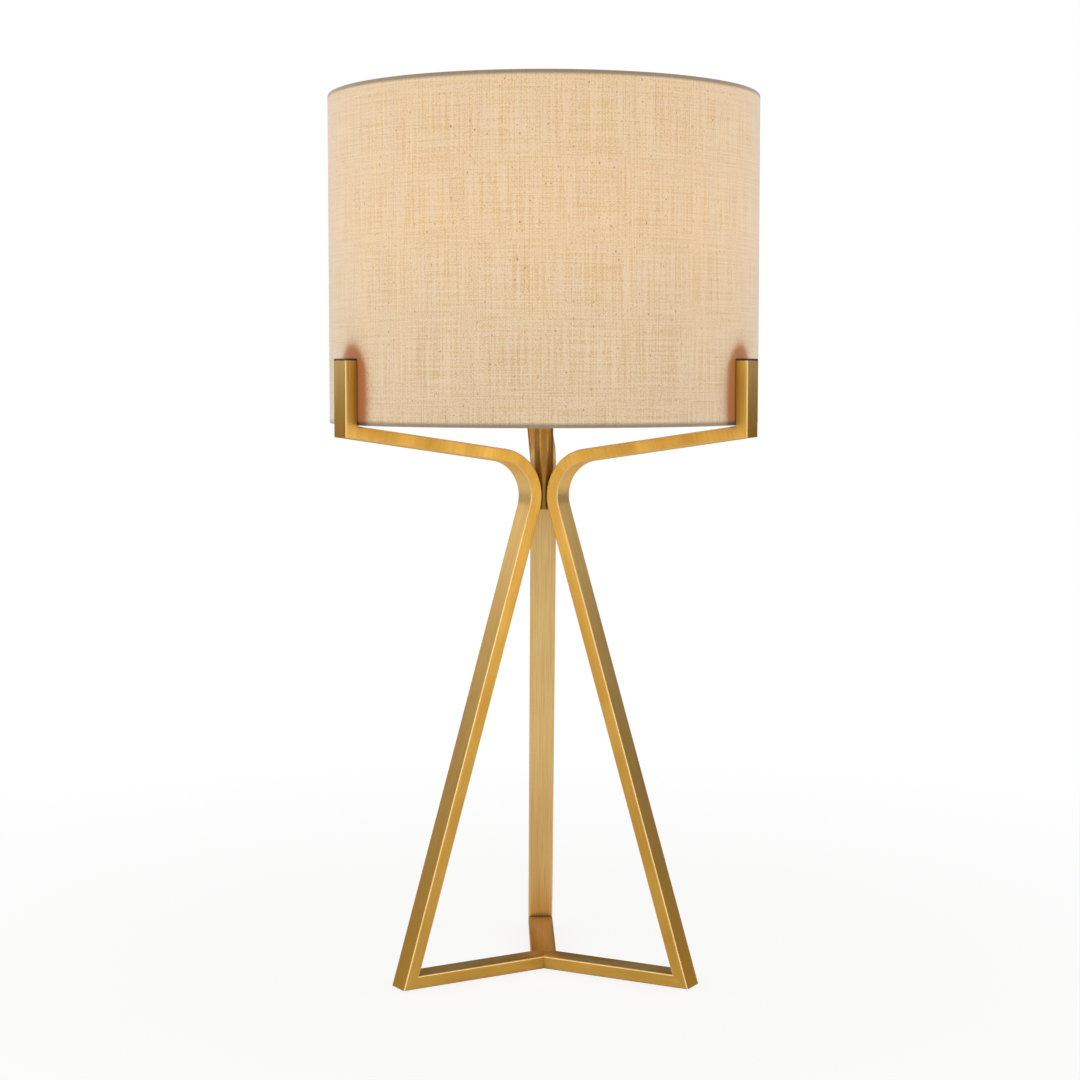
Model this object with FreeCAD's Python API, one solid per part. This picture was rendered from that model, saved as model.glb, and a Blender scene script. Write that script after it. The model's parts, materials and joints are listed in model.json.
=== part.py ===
"""Tripod table lamp: three bent tube legs, a drum shade held between their uprights.

Millimetres, +Z up. The origin is on the lamp's axis, on the table top.
Every leg is drawn in the XZ plane, running out along +X, and then turned to its place.
"""
import FreeCAD, Part
import math
import os

from FreeCAD import Placement, Rotation, Vector

# ---- Layout -------------------------------------------------------------------------
LEG_ANGLES = {"left": 210.0, "right": 330.0, "rear": 90.0}   # degrees from +X
TRIPOD_HALF_ANGLE = 60.0     # half of the angle between two legs

# ---- Leg tube -----------------------------------------------------------------------
TUBE_WIDTH = 21.4            # across the leg
TUBE_DEPTH = 10.5            # in the leg's own radial plane
TUBE_WALL = 1.2
TUBE_EDGE_RADIUS = 1.1       # rounding of the long edges
FOOT_REACH = 138.9           # axis to the outer bottom corner of a foot
BEND_RADIUS = 29.5           # inside of the bend at the waist
ARM_SLOPE = 8.5              # degrees the arm climbs outwards
UPRIGHT_HEIGHT = 53.0        # inner corner of the arm to the top of the end cap

# ---- Shade --------------------------------------------------------------------------
SHADE_RADIUS = 177.0
SHADE_HEIGHT = 266.7
SHADE_BOTTOM = 459.0         # height of the lower rim above the table
SHADE_SEAT_GAP = 0.3         # rim to the inner corners of the arms
SHADE_SIDE_GAP = 0.4         # linen to the uprights
LINEN_THICKNESS = 0.6
LINEN_TURN_IN = 8.0          # linen folded in behind each ring
LINEN_ROLL_RADIUS = 1.2
LINER_THICKNESS = 0.5
RING_WIRE_RADIUS = 1.5
RING_CLEARANCE = 0.05        # ring to liner, and linen fold to ring
SPIDER_DROP = 25.0           # upper rim to the seat of the spider
SPOKE_BEND_RADIUS = 12.0
SPOKE_NOTCH = 0.5            # room round a spoke in the folded linen
HUB_RADIUS = 15.0
HUB_THICKNESS = 3.2

# ---- Small frame parts --------------------------------------------------------------
PAD_THICKNESS = 1.0
PAD_RADIUS = 6.0
PAD_SETBACK = 13.0           # foot corner to the middle of its pad
CAP_HEAD = 1.6
CAP_DOME_RADIUS = 1.0
CAP_PLUG_LENGTH = 11.0
CAP_PLUG_WALL = 1.4
CAP_CLEARANCE = 0.05
GROMMET_HEIGHT = 26.0        # cord outlet above the table, on the rear leg
GROMMET_BORE_RADIUS = 3.2
GROMMET_BODY_RADIUS = 5.0
GROMMET_HEAD_RADIUS = 6.5
GROMMET_HEAD = 1.6
GROMMET_BODY_LENGTH = 4.5
GROMMET_CLEARANCE = 0.05
CORD_HOLE_RADIUS = 3.5       # through the stem and into the rear leg at the waist

# ---- Stem and threaded pipe ---------------------------------------------------------
STEM_RADIUS = 7.9
STEM_WELD_GAP = 0.05         # stem to the bends of the legs
STEM_TAIL = 10.0             # stem below the middle of the bend
STEM_RISE = 46.0             # stem above the lower rim of the shade
STEM_CAP_HEAD = 1.6
STEM_CAP_SPIGOT = 4.0
NIPPLE_RADIUS = 5.1
NIPPLE_BORE_RADIUS = 3.4
NIPPLE_LENGTH = 40.0
NIPPLE_ABOVE_STEM = 20.0
THREAD_CLEARANCE = 0.06
CHECK_RING_RADIUS = 11.0
CHECK_RING_THICKNESS = 2.0
NUT_ACROSS_FLATS = 14.0
NUT_THICKNESS = 4.0

# ---- Lampholder ---------------------------------------------------------------------
SOCKET_NECK_RADIUS = 8.0
SOCKET_NECK_LENGTH = 7.0
SOCKET_CAP_HEIGHT = 26.0
SOCKET_CAP_WALL = 0.9
SHELL_RADIUS = 16.4
SHELL_WALL = 0.6
SHELL_HEIGHT = 45.0
SHELL_OVERLAP = 6.0          # depth of the shell inside the cap
SHELL_LIP = 1.5
LINER_TUBE_WALL = 0.8
SOCKET_CLEARANCE = 0.1
BODY_RADIUS = 11.5
BODY_HEIGHT = 17.0
BODY_FOOT_HEIGHT = 2.0
SCREW_SHELL_WALL = 0.5
SCREW_SHELL_HEIGHT = 23.0
SCREW_SHELL_EYE = 6.0        # hole round the centre contact
CONTACT_RADIUS = 3.8
CONTACT_HEIGHT = 2.0
TERMINAL_HEAD_RADIUS = 3.2
TERMINAL_HEAD = 1.5
TERMINAL_SHANK_RADIUS = 1.8
TERMINAL_SHANK = 5.0
SHAFT_RADIUS = 2.4
SHAFT_CLEARANCE = 0.08
SHAFT_IN_BODY = 6.0
SHAFT_SLOT_CLEARANCE = 0.6
KNOB_RADIUS = 5.5
KNOB_LENGTH = 14.0
KNOB_GAP = 3.0               # socket shell to the knob
KNOB_FLUTES = 12
KNOB_FLUTE_RADIUS = 0.7
KNOB_SOCKET = 8.0

# ---- Bulb ---------------------------------------------------------------------------
BULB_SEAT_GAP = 0.3
BULB_TIP_RADIUS = 4.5
BULB_TIP_HEIGHT = 1.6
BULB_INSULATOR_RADIUS = 9.8
BULB_INSULATOR_HEIGHT = 4.2
BULB_CAP_RADIUS = 13.1
BULB_CAP_HEIGHT = 20.0
BULB_CAP_WALL = 0.5
BULB_CAP_CLEARANCE = 0.3
BULB_NECK_RADIUS = 13.6
BULB_HOUSING_HEIGHT = 33.0
BULB_HOUSING_WALL = 1.6
BULB_RADIUS = 30.0
BULB_RIM_INSET = 1.5         # how far the rim of the dome lies inside its widest level
BULB_DOME_WALL = 1.5
BULB_WIDEST_HEIGHT = 12.0    # rim of the dome to its widest level
LED_PLATE_THICKNESS = 1.6
LED_PLATE_CLEARANCE = 0.1

# ---- Harp and finial ----------------------------------------------------------------
HARP_WIRE_RADIUS = 2.0
HARP_FOOT = 36.0             # axis to each end of the harp
HARP_HALF_WIDTH = 54.0
HARP_STRAIGHT = 36.0
HARP_FLARE = 42.0
HARP_SHOULDER_DROP = 46.0
HARP_TOP_HALF_WIDTH = 12.0
HARP_BENDS = (40.0, 70.0, 58.0, 15.0)
HARP_PAD_RADIUS = 6.5
HARP_PAD_THICKNESS = 3.0
HARP_END_GAP = 0.3
SADDLE_WIDTH = 12.7
SADDLE_THICKNESS = 1.6
SADDLE_FLAT = 22.0           # half length of the flat middle
SADDLE_ARM_RISE = 7.0
SADDLE_PIN_LENGTH = 12.0
FERRULE_RADIUS = 4.5
FERRULE_LENGTH = 16.0
FERRULE_CLEARANCE = 0.1
FERRULE_ON_HARP = 8.0        # length of the ferrule on the harp's own end
STUD_RADIUS = 3.1
STUD_LENGTH = 12.0
STUD_FLANGE_RADIUS = 5.5
STUD_FLANGE = 1.6
HUB_CLEARANCE = 0.3
FINIAL_BASE_RADIUS = 6.0
FINIAL_BASE_HEIGHT = 5.0
FINIAL_NECK_RADIUS = 4.6
FINIAL_BALL_RADIUS = 8.0
FINIAL_SEAT_GAP = 0.3
FINIAL_CLEARANCE = 0.1

PIECES = {}

Z = Vector(0, 0, 1)
ORIGIN = Vector(0, 0, 0)


# ---- Drawing helpers ----------------------------------------------------------------
def at(x, z):
    """A point of the XZ plane."""
    return Vector(x, 0, z)


def outline(start, *steps):
    """Closed face in the XZ plane: a step is (x, z), or (middle, end) for an arc."""
    edges = []
    here = at(*start)
    for step in steps:
        if isinstance(step[0], tuple):
            middle, end = at(*step[0]), at(*step[1])
            edges.append(Part.Arc(here, middle, end).toShape())
        else:
            end = at(*step)
            edges.append(Part.LineSegment(here, end).toShape())
        here = end
    if not here.isEqual(at(*start), 1e-6):
        edges.append(Part.LineSegment(here, at(*start)).toShape())
    return Part.Face(Part.Wire(edges))


def turned(start, *steps):
    """Solid of revolution about Z of an outline whose x is the radius."""
    return outline(start, *steps).revolve(ORIGIN, Z, 360)


def sleeve(outer, inner, bottom, top):
    """Plain tube about Z."""
    return turned((inner, bottom), (outer, bottom), (outer, top), (inner, top))


def rod(radius, start, end):
    """Round bar between two points."""
    return Part.makeCylinder(radius, start.distanceToPoint(end), start, end - start)


def slab(face, width):
    """An XZ face made a solid, width wide, half on each side of the plane."""
    face.translate(Vector(0, -width / 2, 0))
    return face.extrude(Vector(0, width, 0))


def rounded_path(points, radii):
    """Wire through XZ points, with a tangent arc of the given radius at each inner one."""
    edges = []
    here = at(*points[0])
    for corner, radius, following in zip(points[1:-1], radii, points[2:]):
        corner = at(*corner)
        inward = (corner - here).normalize()
        outward = (at(*following) - corner).normalize()
        half_turn = inward.getAngle(outward) / 2
        reach = radius * math.tan(half_turn)
        start = corner - inward * reach
        end = corner + outward * reach
        aside = (outward - inward).normalize()
        middle = corner + aside * (radius / math.cos(half_turn) - radius)
        edges.append(Part.LineSegment(here, start).toShape())
        edges.append(Part.Arc(start, middle, end).toShape())
        here = end
    edges.append(Part.LineSegment(here, at(*points[-1])).toShape())
    return Part.Wire(edges)


def bent_wire(points, radii, wire_radius):
    """Round wire along a rounded path."""
    path = rounded_path(points, radii)
    along = at(*points[1]) - at(*points[0])
    section = Part.Wire(Part.Circle(at(*points[0]), along, wire_radius).toShape())
    return path.makePipeShell([section], True, True)


def round_about(shape, degrees):
    """A copy turned about the lamp's axis."""
    copy = shape.copy()
    copy.rotate(ORIGIN, Z, degrees)
    return copy


# ---- Levels and places worked out from the driving dimensions -----------------------
FLOOR = PAD_THICKNESS
UPRIGHT_REACH = SHADE_RADIUS + SHADE_SIDE_GAP
ARM_CORNER = SHADE_BOTTOM - SHADE_SEAT_GAP
SHADE_TOP = SHADE_BOTTOM + SHADE_HEIGHT
STEM_TOP = SHADE_BOTTOM + STEM_RISE
TUBE_TOP = ARM_CORNER + UPRIGHT_HEIGHT - CAP_HEAD
HARP_SEAT = SHADE_TOP - SPIDER_DROP

arm = math.radians(ARM_SLOPE)
arm_normal = at(math.sin(arm), -math.cos(arm))          # out of the arm's underside
bend_x = STEM_RADIUS + STEM_WELD_GAP + TUBE_DEPTH + BEND_RADIUS
arm_level = at(UPRIGHT_REACH, ARM_CORNER).dot(arm_normal) + TUBE_DEPTH
bend_z = (bend_x * arm_normal.x - arm_level - BEND_RADIUS) / math.cos(arm)
BEND_CENTRE = at(bend_x, bend_z)
FOOT_CORNER = at(FOOT_REACH, FLOOR)

# The leg's outer face is the tangent from the foot's corner to the inside of the bend.
to_bend = BEND_CENTRE - FOOT_CORNER
leg_lean = math.atan2(to_bend.z, to_bend.x) - math.acos(BEND_RADIUS / to_bend.Length)
leg_normal = at(math.cos(leg_lean), math.sin(leg_lean))
leg_level = FOOT_CORNER.dot(leg_normal)
STEM_BOTTOM = bend_z - STEM_TAIL


# ---- Leg: base bar, leg with its arm, upright ---------------------------------------
def leg_line(depth, z):
    """Point of the leg's line that lies depth inside its outer face, at height z."""
    return ((leg_level - depth - z * leg_normal.z) / leg_normal.x, z)


def arm_line(depth, x):
    """Point of the arm's line that lies depth above its underside, at reach x."""
    return (x, (arm_level - depth - x * arm_normal.x) / arm_normal.z)


def on_bend(depth, direction):
    """Point of the bend, depth inside the tube from its outer face."""
    point = BEND_CENTRE - direction * (BEND_RADIUS + depth)
    return (point.x, point.z)


def run_outline(inset, spill):
    """The whole tube run in its own plane: inset inside the faces, spill past both ends."""
    near, far = inset, TUBE_DEPTH - inset
    middle = (arm_normal + leg_normal).normalize()
    outer_reach, inner_reach = UPRIGHT_REACH + far, UPRIGHT_REACH + near
    return outline(
        (-spill, FLOOR + near),
        leg_line(near, FLOOR + near),
        on_bend(near, leg_normal),
        (on_bend(near, middle), on_bend(near, arm_normal)),
        arm_line(near, outer_reach),
        (outer_reach, TUBE_TOP + spill),
        (inner_reach, TUBE_TOP + spill),
        arm_line(far, inner_reach),
        on_bend(far, arm_normal),
        (on_bend(far, middle), on_bend(far, leg_normal)),
        leg_line(far, FLOOR + far),
        (-spill, FLOOR + far),
    )


def long_edges(solid, half_width):
    """The edges that run along the tube on its two side faces."""
    ends = (0.0, TUBE_TOP)
    found = []
    for edge in solid.Edges:
        box = edge.BoundBox
        on_side = box.YLength < 1e-6 and abs(abs(box.YMin) - half_width) < 1e-6
        at_axis = box.XLength < 1e-6 and abs(box.XMin - ends[0]) < 1e-6
        at_top = box.ZLength < 1e-6 and abs(box.ZMin - ends[1]) < 1e-6
        if on_side and not at_axis and not at_top:
            found.append(edge)
    return found


def mitre_side(first, second, beyond):
    """Large block on the side of the line first-second where the point beyond lies."""
    size = 4 * SHADE_TOP
    first, second, beyond = at(*first), at(*second), at(*beyond)
    along = (second - first).normalize()
    aside = at(-along.z, along.x)
    if (beyond - first).dot(aside) < 0:
        aside = aside * -1
    corners = [first - along * size, first + along * size]
    corners += [corners[1] + aside * size, corners[0] + aside * size]
    return slab(outline(*[(point.x, point.z) for point in corners]), 4 * TUBE_WIDTH)


def leg_pieces():
    """Base bar, leg and upright of one leg, running out along +X."""
    solid = slab(run_outline(0.0, 0.0), TUBE_WIDTH)
    solid = solid.makeFillet(TUBE_EDGE_RADIUS, long_edges(solid, TUBE_WIDTH / 2))
    hollow = slab(run_outline(TUBE_WALL, TUBE_WIDTH), TUBE_WIDTH - 2 * TUBE_WALL)
    tube = solid.cut(hollow)

    foot_mitre = (leg_line(0.0, FLOOR), leg_line(TUBE_DEPTH, FLOOR + TUBE_DEPTH))
    top_mitre = (arm_line(0.0, UPRIGHT_REACH + TUBE_DEPTH), arm_line(TUBE_DEPTH, UPRIGHT_REACH))
    below = mitre_side(*foot_mitre, (0.0, FLOOR))
    above = mitre_side(*top_mitre, (UPRIGHT_REACH, TUBE_TOP))

    spread = FOOT_REACH * math.tan(math.radians(TRIPOD_HALF_ANGLE))
    wedge_corners = [Vector(0, 0, 0), Vector(FOOT_REACH, -spread, 0), Vector(FOOT_REACH, spread, 0)]
    wedge = Part.Face(Part.makePolygon(wedge_corners + wedge_corners[:1]))
    wedge = wedge.extrude(Vector(0, 0, FLOOR + 2 * TUBE_DEPTH))

    base_bar = tube.common(below).common(wedge)
    upright = tube.common(above)
    leg = tube.cut(below).cut(above)
    return base_bar, leg, upright


def end_cap():
    """Plug in the open top of an upright: a low domed head and a hollow spigot."""
    length, width = TUBE_DEPTH, TUBE_WIDTH
    corner = Vector(UPRIGHT_REACH, -width / 2, TUBE_TOP)
    head = Part.makeBox(length, width, CAP_HEAD, corner)
    upright_edges = [edge for edge in head.Edges if edge.BoundBox.ZLength > CAP_HEAD / 2]
    head = head.makeFillet(TUBE_EDGE_RADIUS, upright_edges)
    top = [edge for edge in head.Edges if edge.BoundBox.ZMin > TUBE_TOP + CAP_HEAD / 2]
    head = head.makeFillet(CAP_DOME_RADIUS, top)

    inset = TUBE_WALL + CAP_CLEARANCE
    plug = Part.makeBox(length - 2 * inset, width - 2 * inset, CAP_PLUG_LENGTH,
                        corner + Vector(inset, inset, -CAP_PLUG_LENGTH))
    inset += CAP_PLUG_WALL
    hollow = Part.makeBox(length - 2 * inset, width - 2 * inset, CAP_PLUG_LENGTH,
                          corner + Vector(inset, inset, -CAP_PLUG_LENGTH))
    return head.fuse(plug.cut(hollow)).removeSplitter()


def foot_pad():
    """Round pad under the foot, set back so that it doesn't show."""
    return Part.makeCylinder(PAD_RADIUS, PAD_THICKNESS, at(FOOT_REACH - PAD_SETBACK, 0))


def grommet_place():
    """Middle of the cord outlet on the leg's outer face, with Z along the face's normal."""
    x, z = leg_line(0.0, GROMMET_HEIGHT)
    return Placement(at(x, z), Rotation(Z, leg_normal))


def cord_grommet():
    """Bushing in the rear leg: a head outside, a body through the wall."""
    shape = turned((GROMMET_BORE_RADIUS, -GROMMET_BODY_LENGTH),
                   (GROMMET_BODY_RADIUS, -GROMMET_BODY_LENGTH),
                   (GROMMET_BODY_RADIUS, 0.0), (GROMMET_HEAD_RADIUS, 0.0),
                   (GROMMET_HEAD_RADIUS, GROMMET_HEAD / 2),
                   (GROMMET_HEAD_RADIUS - GROMMET_HEAD / 2, GROMMET_HEAD),
                   (GROMMET_BORE_RADIUS, GROMMET_HEAD))
    shape.Placement = grommet_place()
    return shape


def drill_rear_leg(leg):
    """The cord's way in at the waist and its way out above the foot."""
    way_in = rod(CORD_HOLE_RADIUS, at(0, bend_z), at(bend_x - BEND_RADIUS - TUBE_DEPTH / 2, bend_z))
    way_out = Part.makeCylinder(GROMMET_BODY_RADIUS + GROMMET_CLEARANCE, 2 * GROMMET_BODY_LENGTH,
                                Vector(0, 0, -GROMMET_BODY_LENGTH))
    way_out.Placement = grommet_place().multiply(way_out.Placement)
    return leg.cut(way_in).cut(way_out)


def make_frame():
    """Nine tubes of the tripod with their caps, pads and cord outlet."""
    base_bar, leg, upright = leg_pieces()
    for side, angle in LEG_ANGLES.items():
        drilled = drill_rear_leg(leg) if side == "rear" else leg
        PIECES[f"{side}_base_bar"] = round_about(base_bar, angle)
        PIECES[f"{side}_leg"] = round_about(drilled, angle)
        PIECES[f"{side}_upright"] = round_about(upright, angle)
        PIECES[f"{side}_end_cap"] = round_about(end_cap(), angle)
        PIECES[f"{side}_foot_pad"] = round_about(foot_pad(), angle)
    PIECES["cord_grommet"] = round_about(cord_grommet(), LEG_ANGLES["rear"])


# ---- Stem and what is stacked on it -------------------------------------------------
STEM_BORE = NIPPLE_RADIUS + THREAD_CLEARANCE
NIPPLE_TOP = STEM_TOP + NIPPLE_ABOVE_STEM
SADDLE_LEVEL = STEM_TOP + CHECK_RING_THICKNESS
NUT_LEVEL = SADDLE_LEVEL + SADDLE_THICKNESS
SOCKET_LEVEL = NUT_LEVEL + NUT_THICKNESS


def make_stem():
    """Stem, its bottom cap, and the pipe, ring and nut that clamp the harp's saddle."""
    stem = sleeve(STEM_RADIUS, STEM_BORE, STEM_BOTTOM, STEM_TOP)
    rear = Vector(0, 2 * STEM_RADIUS, bend_z)
    PIECES["stem"] = stem.cut(rod(CORD_HOLE_RADIUS, at(0, bend_z), rear))

    spigot = STEM_BORE - THREAD_CLEARANCE
    PIECES["stem_bottom_cap"] = turned(
        (0, STEM_BOTTOM - STEM_CAP_HEAD),
        (STEM_RADIUS - STEM_CAP_HEAD / 2, STEM_BOTTOM - STEM_CAP_HEAD),
        (STEM_RADIUS, STEM_BOTTOM - STEM_CAP_HEAD / 2), (STEM_RADIUS, STEM_BOTTOM),
        (spigot, STEM_BOTTOM), (spigot, STEM_BOTTOM + STEM_CAP_SPIGOT),
        (0, STEM_BOTTOM + STEM_CAP_SPIGOT))
    PIECES["threaded_nipple"] = sleeve(NIPPLE_RADIUS, NIPPLE_BORE_RADIUS,
                                       NIPPLE_TOP - NIPPLE_LENGTH, NIPPLE_TOP)
    PIECES["check_ring"] = sleeve(CHECK_RING_RADIUS, STEM_BORE, STEM_TOP, SADDLE_LEVEL)

    across_corners = NUT_ACROSS_FLATS / math.cos(math.radians(30)) / 2
    corners = [Vector(across_corners * math.cos(math.radians(60 * step)),
                      across_corners * math.sin(math.radians(60 * step)), NUT_LEVEL) for step in range(7)]
    nut = Part.Face(Part.makePolygon(corners)).extrude(Vector(0, 0, NUT_THICKNESS))
    PIECES["lock_nut"] = nut.cut(Part.makeCylinder(STEM_BORE, NUT_THICKNESS, at(0, NUT_LEVEL)))


# ---- Harp ---------------------------------------------------------------------------
PIN_BASE = SADDLE_LEVEL + SADDLE_ARM_RISE
PIN_TOP = PIN_BASE + SADDLE_PIN_LENGTH
HARP_END = PIN_TOP + HARP_END_GAP
HARP_TOP = HARP_SEAT - STUD_FLANGE - HARP_PAD_THICKNESS / 2


def harp_saddle():
    """Flat strip under the lampholder, turned up at both ends into round pins."""
    low, high = SADDLE_LEVEL, SADDLE_LEVEL + SADDLE_THICKNESS
    strip = slab(outline(
        (-HARP_FOOT, PIN_BASE), (-SADDLE_FLAT, low), (SADDLE_FLAT, low), (HARP_FOOT, PIN_BASE),
        (HARP_FOOT, PIN_BASE + SADDLE_THICKNESS), (SADDLE_FLAT, high), (-SADDLE_FLAT, high),
        (-HARP_FOOT, PIN_BASE + SADDLE_THICKNESS)), SADDLE_WIDTH)
    strip = strip.cut(Part.makeCylinder(STEM_BORE, 2 * SADDLE_THICKNESS, at(0, low)))
    for side in (-1, 1):
        place = side * HARP_FOOT
        strip = strip.fuse(rod(HARP_WIRE_RADIUS, at(place, PIN_BASE), at(place, PIN_TOP)))
    return strip.removeSplitter()


def make_harp():
    """Saddle, bow, swivel stud and the two ferrules that lock the bow to the saddle."""
    PIECES["harp_saddle"] = harp_saddle()

    flare_end = HARP_END + HARP_STRAIGHT + HARP_FLARE
    left = [(-HARP_FOOT, HARP_END), (-HARP_FOOT, HARP_END + HARP_STRAIGHT),
            (-HARP_HALF_WIDTH, flare_end), (-HARP_HALF_WIDTH, HARP_TOP - HARP_SHOULDER_DROP),
            (-HARP_TOP_HALF_WIDTH, HARP_TOP)]
    right = [(-x, z) for x, z in reversed(left)]
    bow = bent_wire(left + right, HARP_BENDS + HARP_BENDS[::-1], HARP_WIRE_RADIUS)
    pad_bottom = HARP_TOP - HARP_PAD_THICKNESS / 2
    reach = 2 * HARP_WIRE_RADIUS
    gap_in_wire = Part.makeBox(2 * HARP_PAD_RADIUS, 2 * reach, 2 * reach,
                               Vector(-HARP_PAD_RADIUS, -reach, HARP_TOP - reach))
    pad = Part.makeCylinder(HARP_PAD_RADIUS + HARP_WIRE_RADIUS, HARP_PAD_THICKNESS, at(0, pad_bottom))
    PIECES["harp"] = bow.cut(gap_in_wire).fuse(pad).removeSplitter()

    pad_top = pad_bottom + HARP_PAD_THICKNESS
    PIECES["harp_stud"] = turned(
        (0, pad_top), (STUD_FLANGE_RADIUS, pad_top),
        (STUD_FLANGE_RADIUS, HARP_SEAT), (STUD_RADIUS, HARP_SEAT),
        (STUD_RADIUS, HARP_SEAT + STUD_LENGTH), (0, HARP_SEAT + STUD_LENGTH))

    ferrule_top = HARP_END + FERRULE_ON_HARP
    bore = HARP_WIRE_RADIUS + FERRULE_CLEARANCE
    ferrule = sleeve(FERRULE_RADIUS, bore, ferrule_top - FERRULE_LENGTH, ferrule_top)
    for side, place in (("left", -HARP_FOOT), ("right", HARP_FOOT)):
        PIECES[f"{side}_harp_ferrule"] = ferrule.translated(at(place, 0))


# ---- Lampholder ---------------------------------------------------------------------
CAP_TOP = SOCKET_LEVEL + SOCKET_CAP_HEIGHT
SHELL_BOTTOM = CAP_TOP - SHELL_OVERLAP
SHELL_TOP = SHELL_BOTTOM + SHELL_HEIGHT
SHELL_BORE = SHELL_RADIUS - SHELL_WALL
LINER_OUTER = SHELL_BORE - SOCKET_CLEARANCE
BODY_BOTTOM = SHELL_BOTTOM - BODY_FOOT_HEIGHT
BODY_TOP = BODY_BOTTOM + BODY_HEIGHT
SHAFT_LEVEL = (CAP_TOP + BODY_TOP) / 2
SCREW_SHELL_BORE = BULB_CAP_RADIUS + BULB_CAP_CLEARANCE
KNOB_START = SHELL_RADIUS + KNOB_GAP


def shaft_hole(radius):
    """Way through the lampholder for the switch shaft, towards the front."""
    inner_end = Vector(0, -BODY_RADIUS + SHAFT_IN_BODY, SHAFT_LEVEL)
    return rod(radius, inner_end, Vector(0, -KNOB_START, SHAFT_LEVEL))


def make_lampholder():
    """Cap, shell, insulating liner, switch body, screw shell and contacts."""
    cap_outer = SHELL_RADIUS + SOCKET_CLEARANCE + SOCKET_CAP_WALL
    cap_bore = cap_outer - SOCKET_CAP_WALL
    neck_top = SOCKET_LEVEL + SOCKET_NECK_LENGTH
    shoulder = SHELL_BOTTOM - BODY_FOOT_HEIGHT - SOCKET_CLEARANCE
    PIECES["socket_cap"] = turned(
        (STEM_BORE, SOCKET_LEVEL), (SOCKET_NECK_RADIUS, SOCKET_LEVEL), (SOCKET_NECK_RADIUS, neck_top),
        (cap_outer, shoulder), (cap_outer, CAP_TOP), (cap_bore, CAP_TOP), (cap_bore, SHELL_BOTTOM),
        (BODY_RADIUS, shoulder), (STEM_BORE, neck_top + SOCKET_CAP_WALL))

    slot = shaft_hole(SHAFT_RADIUS + SHAFT_SLOT_CLEARANCE)
    shell = turned(
        (SHELL_BORE, SHELL_BOTTOM), (SHELL_RADIUS, SHELL_BOTTOM), (SHELL_RADIUS, SHELL_TOP),
        (SHELL_RADIUS - SHELL_LIP, SHELL_TOP), (SHELL_RADIUS - SHELL_LIP, SHELL_TOP - SHELL_WALL),
        (SHELL_BORE, SHELL_TOP - SHELL_WALL))
    PIECES["socket_shell"] = shell.cut(slot)
    liner = sleeve(LINER_OUTER, LINER_OUTER - LINER_TUBE_WALL, SHELL_BOTTOM, SHELL_TOP - SHELL_WALL)
    PIECES["socket_liner"] = liner.cut(slot)

    foot = LINER_OUTER - SOCKET_CLEARANCE
    body = turned(
        (0, BODY_BOTTOM), (BODY_RADIUS, BODY_BOTTOM), (foot, SHELL_BOTTOM - SOCKET_CLEARANCE),
        (BODY_RADIUS, SHELL_BOTTOM), (BODY_RADIUS, BODY_TOP), (0, BODY_TOP))
    body = body.cut(shaft_hole(SHAFT_RADIUS + SHAFT_CLEARANCE))
    terminals = []
    for side in (-1, 1):
        face = Vector(side * BODY_RADIUS, 0, SHAFT_LEVEL)
        inside = Vector(side * (BODY_RADIUS - TERMINAL_SHANK), 0, SHAFT_LEVEL)
        outside = Vector(side * (BODY_RADIUS + TERMINAL_HEAD), 0, SHAFT_LEVEL)
        shank = rod(TERMINAL_SHANK_RADIUS, inside, outside)
        body = body.cut(shank)
        head = rod(TERMINAL_HEAD_RADIUS, face, outside).cut(body)
        terminals.append(shank.fuse(head).removeSplitter())
    PIECES["socket_body"] = body
    PIECES["terminal_screws"] = Part.makeCompound(terminals)

    flange_top = BODY_TOP + SCREW_SHELL_WALL
    PIECES["socket_screw_shell"] = turned(
        (SCREW_SHELL_EYE, BODY_TOP), (SCREW_SHELL_BORE + SCREW_SHELL_WALL, BODY_TOP),
        (SCREW_SHELL_BORE + SCREW_SHELL_WALL, BODY_TOP + SCREW_SHELL_HEIGHT),
        (SCREW_SHELL_BORE, BODY_TOP + SCREW_SHELL_HEIGHT), (SCREW_SHELL_BORE, flange_top),
        (SCREW_SHELL_EYE, flange_top))
    PIECES["socket_contact"] = turned(
        (0, BODY_TOP), (CONTACT_RADIUS, BODY_TOP), (CONTACT_RADIUS, BODY_TOP + CONTACT_HEIGHT / 2),
        (CONTACT_RADIUS / 2, BODY_TOP + CONTACT_HEIGHT), (0, BODY_TOP + CONTACT_HEIGHT))


def make_switch():
    """Shaft and fluted knob of the rotary switch, on the front of the lampholder."""
    axle_start = Vector(0, -BODY_RADIUS + SHAFT_IN_BODY - SHAFT_CLEARANCE, SHAFT_LEVEL)
    axle_end = Vector(0, -KNOB_START - KNOB_SOCKET, SHAFT_LEVEL)
    PIECES["switch_shaft"] = rod(SHAFT_RADIUS, axle_start, axle_end)

    knob_end = Vector(0, -KNOB_START - KNOB_LENGTH, SHAFT_LEVEL)
    knob = rod(KNOB_RADIUS, Vector(0, -KNOB_START, SHAFT_LEVEL), knob_end)
    knob = knob.makeFillet(KNOB_FLUTE_RADIUS, [edge for edge in knob.Edges if edge.Closed])
    for flute in range(KNOB_FLUTES):
        turn = math.radians(360.0 * flute / KNOB_FLUTES)
        aside = Vector(KNOB_RADIUS * math.cos(turn), 0, KNOB_RADIUS * math.sin(turn))
        start = Vector(0, -KNOB_START - KNOB_FLUTE_RADIUS * 3, SHAFT_LEVEL) + aside
        knob = knob.cut(rod(KNOB_FLUTE_RADIUS, start, knob_end + aside))
    PIECES["switch_knob"] = knob.cut(rod(SHAFT_RADIUS, axle_start, axle_end))


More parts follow.
